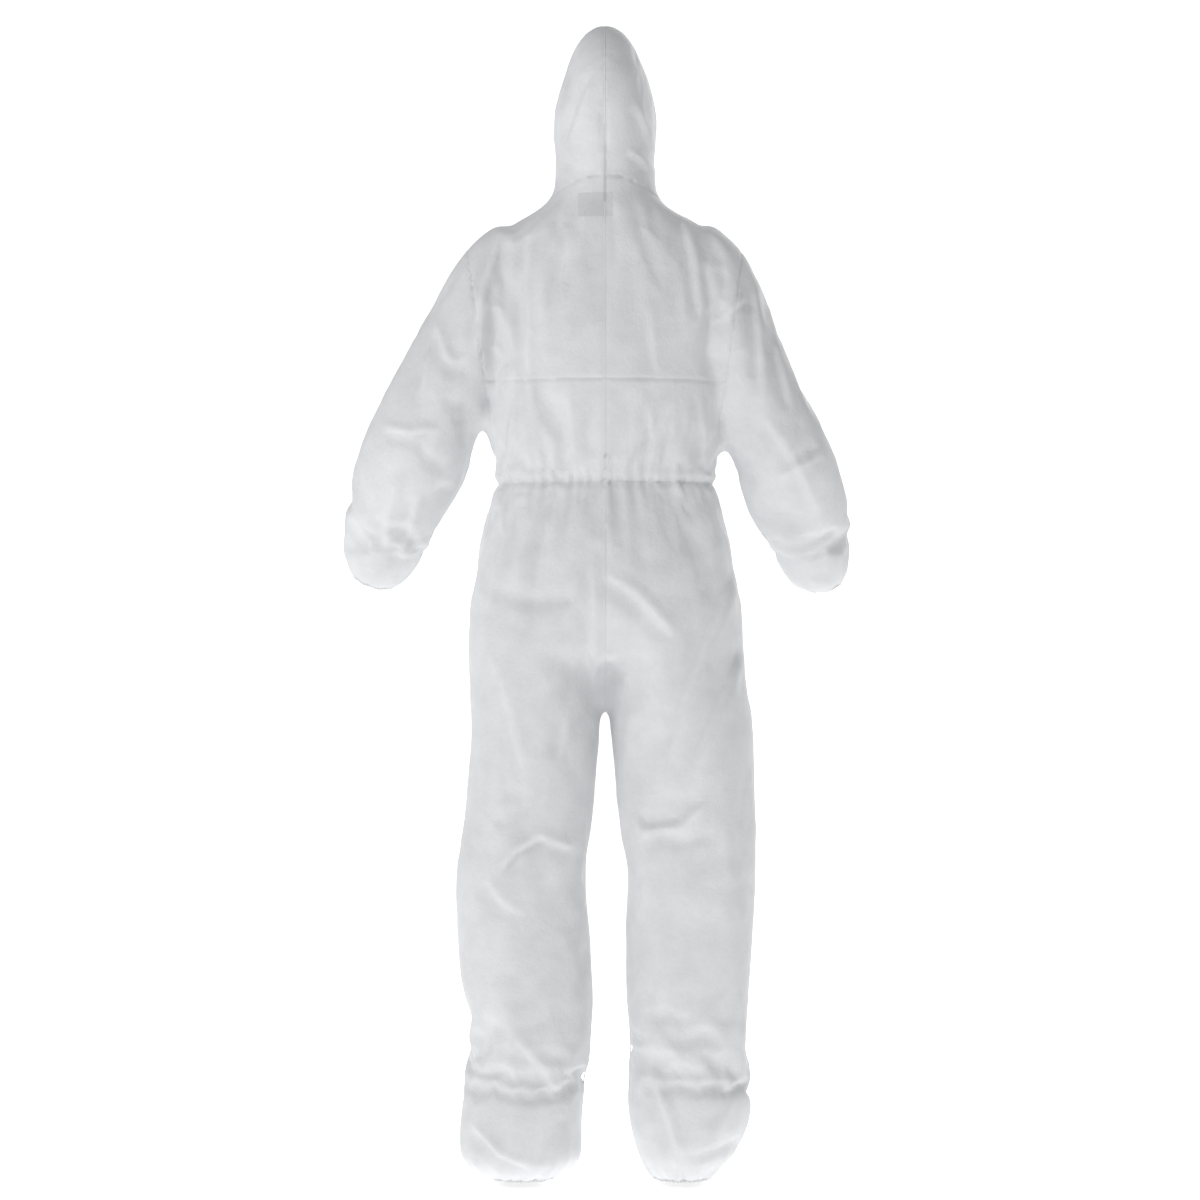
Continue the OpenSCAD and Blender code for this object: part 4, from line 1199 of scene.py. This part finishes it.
rolls = []
for line in rim_loops("hem"):
    word = "left" if line[0].co.x > 0 else "right"
    piece = roll(f"ankle_casing_{word}", line, 0.0024, 0.30, 0.0065, 0.001)
    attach(piece, f"{word}_shin")
    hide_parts(f"ankle_elastic_{word}")
    rolls.append(piece)
for line in rim_loops("cuff"):
    word = "left" if line[0].co.x > 0 else "right"
    piece = roll(f"wrist_casing_{word}", line, 0.0022, 0.30, 0.0060, 0.001)
    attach(piece, f"{word}_lower_sleeve")
    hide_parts(f"wrist_elastic_{word}")
    rolls.append(piece)
for line in rim_loops("face")[:1]:
    piece = roll("face_casing", line, 0.0034, 0.24, 0.0080, 0.0)
    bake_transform(piece, "torso", "hood", NECK_POINT, NECK_POINT + NECK_NORMAL * 0.06)
    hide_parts("face_elastic")
    rolls.append(piece)
print("rolls", [r.name for r in rolls])

# %% [markdown]
# ## The zip
# A nylon zip runs from the neck to the crotch. Its tapes are sewn behind the edges of the
# fronts, and its teeth stand on the tape edges. One tooth is shaped from a cube, with its corners
# rounded, and an array repeats it along the tape, half a step apart on the two sides, so that
# the rows mesh. The tapes start as thin boxes whose edges are rounded.

# %% Zip parts in the closure's own place
ZIP_TOP = -0.018
closure = Matrix.Translation((0, front_face(ZIP_TOP), ZIP_TOP)) @ Matrix.Rotation(-math.atan(0.038), 4, "X")
ZIP_LENGTH = 0.592
TAPE_DEPTH = 0.0029


def rounded_block(name, low, high, bevel, segments=2):
    deselect_everything()
    middle = [(a + b) / 2 for a, b in zip(low, high)]
    bpy.ops.mesh.primitive_cube_add(size=1, location=middle, scale=[b - a for a, b in zip(low, high)])
    piece = bpy.context.object
    piece.name = name
    bpy.ops.object.transform_apply(location=True, rotation=True, scale=True)
    soften = piece.modifiers.new("soften", "BEVEL")
    soften.width = bevel
    soften.segments = segments
    apply_modifier(piece, "soften")
    return piece


def settle(piece, matrix):
    piece.data.transform(matrix)
    piece.data.update()
    return piece


def smooth_shade(piece, angle=40):
    make_active(piece)
    bpy.ops.object.shade_smooth_by_angle(angle=math.radians(angle))


# %% Make the tapes and the teeth
zip_pieces = []
for word, side in (("left", 1), ("right", -1)):
    low_x, high_x = sorted((side * 0.001, side * 0.016))
    tape = rounded_block(f"zip_tape_{word}_woven", (low_x, TAPE_DEPTH, -ZIP_LENGTH),
                         (high_x, TAPE_DEPTH + 0.0006, 0), 0.0002)
    settle(tape, closure)
    smooth_shade(tape)
    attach(tape, "torso")
    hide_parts(f"zip_tape_{word}")
    low_x, high_x = sorted((side * 0.0007, side * 0.0029))
    start = -0.0042 - (0.0010 if side < 0 else 0)
    tooth = rounded_block(f"zip_teeth_{word}_coil", (low_x, 0.0011, start - 0.0013),
                          (high_x, TAPE_DEPTH, start), 0.0004, 2)
    row = tooth.modifiers.new("row", "ARRAY")
    row.count = 291
    row.use_relative_offset = False
    row.use_constant_offset = True
    row.constant_offset_displace = (0, 0, -0.0020)
    apply_modifier(tooth, "row")
    settle(tooth, closure)
    smooth_shade(tooth)
    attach(tooth, "torso")
    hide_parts(f"zip_teeth_{word}")
    zip_pieces += [tape, tooth]
    edge_points = [closure @ Vector((side * 0.0094, 0.0, -0.004 - 0.583 * k / 120)) for k in range(121)]
    stitch = ridge(f"zip_stitch_{word}", edge_points, [Vector((0, -1, 0))] * 121,
                   0.0016, 0.0005, False, 0.0001)
    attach(stitch, "torso")
    seam_pieces.append(stitch)
# %% Make the stops
stops = rounded_block("zip_bottom_stop_block", (-0.0028, 0.0009, -ZIP_LENGTH),
                      (0.0028, TAPE_DEPTH, -ZIP_LENGTH + 0.003), 0.0005, 3)
settle(stops, closure)
smooth_shade(stops)
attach(stops, "torso")
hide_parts("zip_bottom_stop")
tops = []
for word, side in (("left", 1), ("right", -1)):
    low_x, high_x = sorted((side * 0.0007, side * 0.0029))
    top = rounded_block(f"zip_top_stop_{word}", (low_x, 0.0009, -0.003), (high_x, TAPE_DEPTH, 0), 0.0005, 3)
    settle(top, closure)
    smooth_shade(top)
    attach(top, "torso")
    tops.append(top)
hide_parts("zip_top_stops")
print("zip pieces", len(zip_pieces) + 3)

# %% [markdown]
# ## The slider
# The slider is a small cast body with two lugs for the pull. Here its front plate is shaped: it
# narrows towards its lower end and has a raised crown in its middle. A cube is set to the plate's
# size, its outer face is inset and drawn out for the crown, and its lower corners are moved inwards.

# %% Shape the slider's front plate
deselect_everything()
bpy.ops.mesh.primitive_cube_add(size=1, location=(0, -0.0001, -0.010), scale=(0.0094, 0.0020, 0.0124))
crown = bpy.context.object
crown.name = "slider_plate"
bpy.ops.object.transform_apply(location=True, rotation=True, scale=True)
bpy.ops.object.mode_set(mode="EDIT")
bpy.ops.mesh.select_all(action="DESELECT")
em = bmesh.from_edit_mesh(crown.data)
for f in em.faces:
    f.select = f.normal.y < -0.9
bmesh.update_edit_mesh(crown.data)
bpy.ops.mesh.inset(thickness=0.0014, depth=0)
bpy.ops.mesh.extrude_region_move(TRANSFORM_OT_translate={"value": (0, -0.0006, 0)})
bpy.ops.mesh.inset(thickness=0.0008, depth=0)
bpy.ops.mesh.extrude_region_move(TRANSFORM_OT_translate={"value": (0, 0.0003, 0)})
em = bmesh.from_edit_mesh(crown.data)
for v in em.verts:
    if v.co.z < -0.014:
        v.co.x *= 0.72
    if v.co.z > -0.005 and abs(v.co.x) > 0.004:
        v.co.x *= 0.90
bmesh.update_edit_mesh(crown.data)
bpy.ops.object.mode_set(mode="OBJECT")
soften = crown.modifiers.new("soften", "BEVEL")
soften.width = 0.0004
soften.segments = 2
soften.limit_method = "ANGLE"
apply_modifier(crown, "soften")
settle(crown, closure)
smooth_shade(crown, 35)
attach(crown, "zip_slider")
print("slider plate", len(crown.data.polygons), "faces")

# %% [markdown]
# ## The storm flap
# A strip of doubled cloth is sewn down on the wearer's left of the zip and folds over it. It
# arches a little over the teeth, and its free edge lies down on the other front. It is a curved
# sheet of 1.2 mm, with a hem around it, and it turns about its sewn edge.

# %% Make the flap
def curved_sheet(name, grid, thickness):
    """A closed sheet from rows of points, facing the front and thickened evenly on both sides of them."""
    rows, cols = len(grid), len(grid[0])
    mesh = bpy.data.meshes.new(name)
    verts = [p for r in grid for p in r]
    faces = [(i * cols + j, (i + 1) * cols + j, (i + 1) * cols + j + 1, i * cols + j + 1)
             for i in range(rows - 1) for j in range(cols - 1)]
    mesh.from_pydata(verts, [], faces)
    piece = bpy.data.objects.new(name, mesh)
    bpy.context.scene.collection.objects.link(piece)
    make_active(piece)
    bpy.ops.object.mode_set(mode="EDIT")
    bpy.ops.mesh.select_all(action="SELECT")
    bpy.ops.mesh.normals_make_consistent(inside=False)
    bpy.ops.object.mode_set(mode="OBJECT")
    if mesh.polygons[len(mesh.polygons) // 2].normal.y > 0:
        mesh.flip_normals()
    wall = piece.modifiers.new("wall", "SOLIDIFY")
    wall.thickness = thickness
    wall.offset = 0
    apply_modifier(piece, "wall")
    smooth_shade(piece, 50)
    return piece


# %% Shape the flap and its sewn edge
FLAP_TOP, FLAP_EDGE, FLAP_FREE = -0.048, 0.029, -0.024
grid = []
for i in range(151):
    z = FLAP_TOP - (ZIP_LENGTH - 0.048) * i / 150
    row = []
    for j in range(21):
        t = j / 20
        x = FLAP_EDGE + (FLAP_FREE - FLAP_EDGE) * t
        arch = -0.0069 + 0.0036 * smoothstep(t, 0.72, 1.0)
        wavy = 0.0007 * math.sin(z * 41 + 1.3) * t + 0.0004 * math.sin(z * 97 + 4 * t) * t
        hem = (-0.0004 * (1 - smoothstep(abs(t - 0.93), 0.02, 0.05))
               - 0.0003 * (1 - smoothstep(abs(t - 0.04), 0.02, 0.05)))
        row.append(closure @ Vector((x, arch + wavy + hem, z)))
    grid.append(row)
flap = curved_sheet("storm_flap_cloth", grid, 0.0012)
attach(flap, "storm_flap")
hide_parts("storm_flap")
grid = []
for i in range(101):
    z = FLAP_TOP - (ZIP_LENGTH - 0.048) * i / 100
    row = []
    for j in range(9):
        t = j / 8
        x = 0.0400 - 0.0110 * math.sin(t * math.pi / 2)
        y = 0.0002 - 0.0068 * t * t
        row.append(closure @ Vector((x, y, z)))
    grid.append(row)
flap_root = curved_sheet("storm_flap_root", grid, 0.0010)
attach(flap_root, "torso")
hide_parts("flap_seam")
for name, x, body in (("storm_flap_stitch", -0.0185, "storm_flap"),
                      ("storm_flap_root_stitch", 0.0350, "torso")):
    y = -0.0058 if x < 0 else -0.0020
    edge_points = [closure @ Vector((x, y, FLAP_TOP - 0.004 - 0.536 * k / 120)) for k in range(121)]
    stitch = ridge(name, edge_points, [Vector((0, -1, 0))] * 121, 0.0014, 0.0008, False, 0.0001)
    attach(stitch, body)
    seam_pieces.append(stitch)
print("flap", len(flap.data.polygons), "faces")

# %% [markdown]
# ## The size label
# A blank satin label is sewn inside the back of the neck. It lies just under the yoke, so it is
# bent to the yoke's own curve. It carries no lettering.

# %% Make the label
grid = []
for i in range(15):
    z = -0.014 - 0.038 * i / 14
    row = []
    for j in range(19):
        x = -0.012 + 0.054 * j / 18
        co, no = skin_at(Vector((x, 0.100, z)))
        row.append(Vector((x, co.y, z)) - no * (0.0060 + 0.0004 * math.sin(i / 14 * math.pi)))
    grid.append(row)
label = curved_sheet("size_label_satin", grid, 0.0003)
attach(label, "torso")
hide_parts("size_label")
bpy.data.objects.remove(garment)
bm.free()

# %% [markdown]
# ## Flat sizes of the sheets
# Each panel is a sheet that was cut flat before it was sewn. Its flat width and length are those
# of the pattern piece that it needs, and its flat area is smaller, because the pattern pieces are
# not rectangles. A leg or sleeve is cut as one wide piece and sewn into a tube.

# %% Flat sizes of the pattern pieces
FLAT_SIZES = {
    "hood": (0.360, 0.320, 0.071), "back_yoke": (0.300, 0.320, 0.068), "lower_back": (0.220, 0.180, 0.036),
    "front": (0.240, 0.460, 0.087), "trousers": (0.620, 0.520, 0.280), "trouser_leg": (0.620, 0.600, 0.352),
    "upper_sleeve": (0.500, 0.320, 0.084), "lower_sleeve": (0.500, 0.300, 0.117),
}
for name, piece in panels.items():
    width, length, area = FLAT_SIZES[name.rsplit("_", 1)[0]]
print("sheets", len(panels) + 3)

# %% [markdown]
# ## Finishes: helpers
# Every finish is made of nodes. A pattern that belongs to the cloth's own grain reads the object
# coordinates, and one that follows a seam reads the length kept in the ridge's UV map.

# %% Node helpers
class Finish:
    """A material with a Principled shader, and short calls that add nodes to it."""

    def __init__(self, name, **sockets):
        self.material = bpy.data.materials.new(name)
        self.material.use_nodes = True
        self.tree = self.material.node_tree
        self.shader = self.tree.nodes["Principled BSDF"]
        for key, value in sockets.items():
            self.shader.inputs[key.replace("_", " ")].default_value = value
        self.where = self.tree.nodes.new("ShaderNodeTexCoord")

    def node(self, kind, links=None, **settings):
        made = self.tree.nodes.new(kind)
        for key, value in settings.items():
            setattr(made, key, value)
        for socket, value in (links or {}).items():
            if isinstance(value, bpy.types.NodeSocket):
                self.tree.links.new(value, made.inputs[socket])
            else:
                made.inputs[socket].default_value = value
        return made

    def place(self, scale=(1, 1, 1), uv=False):
        source = self.where.outputs["UV" if uv else "Object"]
        return self.node("ShaderNodeMapping", {"Vector": source, "Scale": scale}).outputs[0]

    def noise(self, scale, detail=3, vector=None, rough=0.55):
        made = self.node("ShaderNodeTexNoise", {"Vector": vector or self.place(), "Scale": scale,
                                                "Detail": detail, "Roughness": rough})
        return made.outputs["Fac"]

    def ramp(self, factor, low, high, dark, light):
        made = self.node("ShaderNodeValToRGB", {"Fac": factor})
        made.color_ramp.elements[0].position = low
        made.color_ramp.elements[0].color = (*dark, 1)
        made.color_ramp.elements[1].position = high
        made.color_ramp.elements[1].color = (*light, 1)
        return made.outputs["Color"]

    def bump(self, height, distance, strength, before=None):
        links = {"Height": height, "Distance": distance, "Strength": strength}
        if before:
            links["Normal"] = before
        return self.node("ShaderNodeBump", links).outputs["Normal"]

    def maths(self, operation, a, b=0.0, clamp=False):
        return self.node("ShaderNodeMath", {0: a, 1: b}, operation=operation, use_clamp=clamp).outputs[0]

    def set(self, **sockets):
        for key, value in sockets.items():
            self.tree.links.new(value, self.shader.inputs[key.replace("_", " ")])
        return self.material


# %% [markdown]
# ## The white nonwoven
# The suit is of white laminated nonwoven: a matt, slightly cool white with a fine embossed grain,
# faint cloudiness where the fibres lie thicker, and small sharp crinkles that stay in it. On the
# yokes a slightly greyer patch is painted where the label lies under the cloth: painted shade of
# the label seen through the thin nonwoven.

# %% Make the nonwoven
def nonwoven_finish(name, label_shadow_shows=False):
    made = Finish(name, Roughness=0.66, Sheen_Weight=0.18, Sheen_Roughness=0.5, Specular_IOR_Level=0.32)
    clouds = made.noise(26, 5)
    tint = made.ramp(clouds, 0.30, 0.72, (0.690, 0.700, 0.716), (0.765, 0.772, 0.784))
    fibres = made.noise(900, 2)
    speck = made.ramp(fibres, 0.35, 0.60, (0.93, 0.93, 0.935), (1, 1, 1))
    colour = made.node("ShaderNodeVectorMath", {0: tint, 1: speck}, operation="MULTIPLY").outputs[0]
    # Painted shade: a soft-edged greyer rectangle where the label behind the cloth shows through as a shadow.
    if label_shadow_shows:
        axes = made.node("ShaderNodeSeparateXYZ", {0: made.where.outputs["Object"]}).outputs
        across = made.maths("ABSOLUTE", made.maths("SUBTRACT", axes[0], 0.015))
        down = made.maths("ABSOLUTE", made.maths("SUBTRACT", axes[2], -0.033))
        edge_x = made.maths("DIVIDE", made.maths("SUBTRACT", 0.0275, across), 0.0015, True)
        edge_z = made.maths("DIVIDE", made.maths("SUBTRACT", 0.0195, down), 0.0015, True)
        label_shadow_patch = made.maths("MULTIPLY", edge_x, edge_z)
        shade = made.maths("SUBTRACT", 1.0, made.maths("MULTIPLY", label_shadow_patch, 0.11))
        colour = made.node("ShaderNodeVectorMath", {0: colour, "Scale": shade}, operation="SCALE").outputs[0]
    crinkle = made.noise(120, 5, rough=0.62)
    creases = made.node("ShaderNodeTexVoronoi", {"Vector": made.place(), "Scale": 75.0},
                        feature="DISTANCE_TO_EDGE")
    grain = made.node("ShaderNodeTexVoronoi", {"Vector": made.place(), "Scale": 850.0})
    relief = made.bump(crinkle, 0.0022, 0.45)
    relief = made.bump(creases.outputs["Distance"], 0.0008, 0.10, relief)
    relief = made.bump(grain.outputs["Distance"], 0.0002, 0.25, relief)
    return made.set(Base_Color=colour, Normal=relief)


nonwoven = nonwoven_finish("white_nonwoven")
# The back yokes take the copy that carries the label's painted shade.
nonwoven_with_label_shadow = nonwoven_finish("white_nonwoven_with_label_shadow", True)
for name, piece in panels.items():
    piece.data.materials.clear()
    piece.data.materials.append(nonwoven_with_label_shadow if name.startswith("back_yoke") else nonwoven)
for piece in (flap, flap_root):
    piece.data.materials.append(nonwoven)
print("nonwoven on", len(panels) + 2, "pieces")

# %% [markdown]
# ## Seam stitches and elastic
# The seams are overlocked with three threads, so a row of short slanted stitches shows along each
# ridge, about every 3 mm, with painted shade in the gaps between the stitches. The elastic casings
# are the same cloth as the panels, drawn into tiny gathers across their length, with painted shade
# in the hollows of the gathers.

# %% Make the stitched and gathered finishes
stitched = Finish("overlocked_seam", Roughness=0.72, Sheen_Weight=0.12, Specular_IOR_Level=0.30)
row = stitched.node("ShaderNodeSeparateXYZ", {0: stitched.place(uv=True)}).outputs
slant = stitched.maths("ADD", stitched.maths("MULTIPLY", row[0], 2 * math.pi / 0.0030),
                       stitched.maths("MULTIPLY", row[1], 6.0))
thread = stitched.maths("MULTIPLY", stitched.maths("ADD", stitched.maths("SINE", slant), 1.0), 0.5)
fuzz = stitched.noise(700, 2)
fuzzy_thread = stitched.maths("MULTIPLY", stitched.maths("ADD", thread, fuzz), 0.5)
# Painted shade: the ramp darkens the gaps between the stitches, where the bump sinks; the fuzz adds random tone.
thread_colour_with_gap_shade = stitched.ramp(fuzzy_thread, 0.15, 0.62,
                              (0.52, 0.53, 0.55), (0.775, 0.780, 0.788))
stitched.set(Base_Color=thread_colour_with_gap_shade, Normal=stitched.bump(thread, 0.0008, 0.6))
for piece in seam_pieces:
    piece.data.materials.append(stitched.material)
gathered = Finish("gathered_casing", Roughness=0.70, Sheen_Weight=0.15, Specular_IOR_Level=0.30)
row = gathered.node("ShaderNodeSeparateXYZ", {0: gathered.place(uv=True)}).outputs
fold = gathered.maths("SINE", gathered.maths("MULTIPLY", row[0], 2 * math.pi / 0.0032))
fold = gathered.maths("ADD", fold, gathered.noise(400, 3))
# Painted shade: the ramp darkens the hollows of the gathers, where the bump sinks; the noise adds random mottling.
gathered_colour_with_fold_shade = gathered.ramp(gathered.maths("MULTIPLY", fold, 0.5), 0.0, 0.7,
                                (0.63, 0.635, 0.645), (0.76, 0.765, 0.772))
gathered.set(Base_Color=gathered_colour_with_fold_shade, Normal=gathered.bump(fold, 0.0006, 0.5))
for piece in rolls:
    piece.data.materials.append(gathered.material)
print("stitched", len(seam_pieces), "gathered", len(rolls))

# %% [markdown]
# ## Zip, label and metal
# The tape is a close weave, the coil is smooth nylon with a little gloss, the slider and its pull
# are cast metal, tumbled dull and rubbed brighter in places, and the label is a blank satin.

# %% Make the trim finishes
tape_finish = Finish("woven_tape", Roughness=0.78, Sheen_Weight=0.2, Specular_IOR_Level=0.25)
warp, weft = [tape_finish.node("ShaderNodeTexWave",
                               {"Vector": tape_finish.place(), "Scale": 420.0, "Distortion": 0.6},
                               bands_direction=way) for way in "XZ"]
weave = tape_finish.maths("MULTIPLY", warp.outputs["Fac"], weft.outputs["Fac"])
tape_finish.set(Base_Color=tape_finish.ramp(weave, 0.0, 0.8, (0.74, 0.75, 0.76), (0.86, 0.865, 0.87)),
                Normal=tape_finish.bump(weave, 0.0003, 0.5))
coil_finish = Finish("nylon_coil", Roughness=0.38, Specular_IOR_Level=0.5)
haze = coil_finish.noise(300, 3)
coil_finish.set(Base_Color=coil_finish.ramp(haze, 0.3, 0.7, (0.80, 0.81, 0.82), (0.87, 0.875, 0.88)),
                Normal=coil_finish.bump(haze, 0.0002, 0.3))
metal_finish = Finish("cast_metal", Metallic=1.0, Roughness=0.34)
rubbed = metal_finish.noise(420, 4)
dull = metal_finish.node("ShaderNodeMapRange", {"Value": rubbed, "To Min": 0.26, "To Max": 0.48})
metal_finish.set(Base_Color=metal_finish.ramp(rubbed, 0.3, 0.7, (0.60, 0.61, 0.62), (0.76, 0.77, 0.78)),
                 Roughness=dull.outputs["Result"], Normal=metal_finish.bump(rubbed, 0.0001, 0.3))
satin = Finish("satin_label", Roughness=0.42, Sheen_Weight=0.25, Specular_IOR_Level=0.45)
lines = satin.node("ShaderNodeTexWave", {"Vector": satin.place(), "Scale": 600.0, "Distortion": 0.4},
                   bands_direction="Z")
satin.set(Base_Color=satin.ramp(lines.outputs["Fac"], 0.0, 1.0, (0.86, 0.86, 0.87), (0.93, 0.93, 0.93)),
          Normal=satin.bump(lines.outputs["Fac"], 0.0002, 0.3))
for piece in zip_pieces:
    finish = tape_finish if piece.name.startswith("zip_tape") else coil_finish
    piece.data.materials.append(finish.material)
for piece in (stops, *tops, crown):
    piece.data.materials.append(metal_finish.material)
label.data.materials.append(satin.material)
for name in ("zip_slider", "pull_tab"):
    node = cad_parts[name]
    node = node if hasattr(node, "data") else bpy.data.objects[name]
    for k in range(max(1, len(node.material_slots))):
        if not node.material_slots:
            node.data.materials.append(metal_finish.material)
        node.material_slots[k].material = metal_finish.material
print("trim finished")

# %% [markdown]
# ## Studio
# The suit stands over a pale floor that curves up into a backdrop far behind it, so that no line
# shows behind the suit. One large soft light stands beside the camera and a weaker one on each
# side, so that the folds shade gently.

# %% Floor, lights and camera
FLOOR = cad_low.z - 0.004
profile = [(6.0, FLOOR), (-6.5, FLOOR)]
SWEEP_CURVE = 1.5
for a in range(1, 9):
    turn = a * math.pi / 16
    profile.append((-6.5 - SWEEP_CURVE * math.sin(turn), FLOOR + SWEEP_CURVE * (1 - math.cos(turn))))
profile += [(-8.0, FLOOR + 5.0)]
sweep_mesh = bpy.data.meshes.new("studio_sweep")
sweep_mesh.from_pydata([(x, y, z) for y, z in profile for x in (-8, 8)], [],
                       [(2 * i, 2 * i + 1, 2 * i + 3, 2 * i + 2) for i in range(len(profile) - 1)])
sweep_mesh.polygons.foreach_set("use_smooth", [True] * len(sweep_mesh.polygons))
sweep = bpy.data.objects.new("studio_sweep", sweep_mesh)
bpy.context.scene.collection.objects.link(sweep)
paper = Finish("studio_paper", Roughness=0.9, Emission_Color=(1, 1, 1, 1), Emission_Strength=0.78)
paper.set(Base_Color=paper.ramp(paper.noise(2, 2), 0.2, 0.8, (0.92, 0.92, 0.92), (0.94, 0.94, 0.94)))
sweep_mesh.materials.append(paper.material)


# %% Place the lights
def area_light(name, place, aim, size, power):
    data = bpy.data.lights.new(name, "AREA")
    data.shape = "SQUARE"
    data.size = size
    data.energy = power
    lamp = bpy.data.objects.new(name, data)
    bpy.context.scene.collection.objects.link(lamp)
    lamp.location = place
    lamp.rotation_euler = (Vector(aim) - Vector(place)).to_track_quat("-Z", "Y").to_euler()
    return lamp


MIDDLE = (0.0, 0.0, -0.60)
area_light("key_light", (2.1, 2.3, 1.5), MIDDLE, 1.1, 46)
area_light("side_light_left", (2.8, -0.3, 0.2), MIDDLE, 1.4, 4)
area_light("side_light_right", (-2.6, 0.8, 0.4), MIDDLE, 1.4, 6)
area_light("front_light", (-1.2, -2.4, 1.0), MIDDLE, 1.6, 34)
world = bpy.data.worlds.new("studio_air")
bpy.context.scene.world = world
world.use_nodes = True
world.node_tree.nodes["Background"].inputs["Color"].default_value = (1, 1, 1, 1)
world.node_tree.nodes["Background"].inputs["Strength"].default_value = 0.26
bpy.context.scene.view_settings.view_transform = "Standard"
# %% Place the camera
CAMERA_DISTANCE = 5.0
VIEW_SIDE = 1.86
lens = bpy.data.cameras.new("camera")
lens.lens = 36 * CAMERA_DISTANCE / VIEW_SIDE
camera = bpy.data.objects.new("camera", lens)
bpy.context.scene.collection.objects.link(camera)
camera.location = (0.008, CAMERA_DISTANCE, -0.6355)
camera.rotation_euler = (math.pi / 2, 0, math.pi)
bpy.context.scene.camera = camera
print("floor at", round(FLOOR, 3), "lens", round(lens.lens, 1))
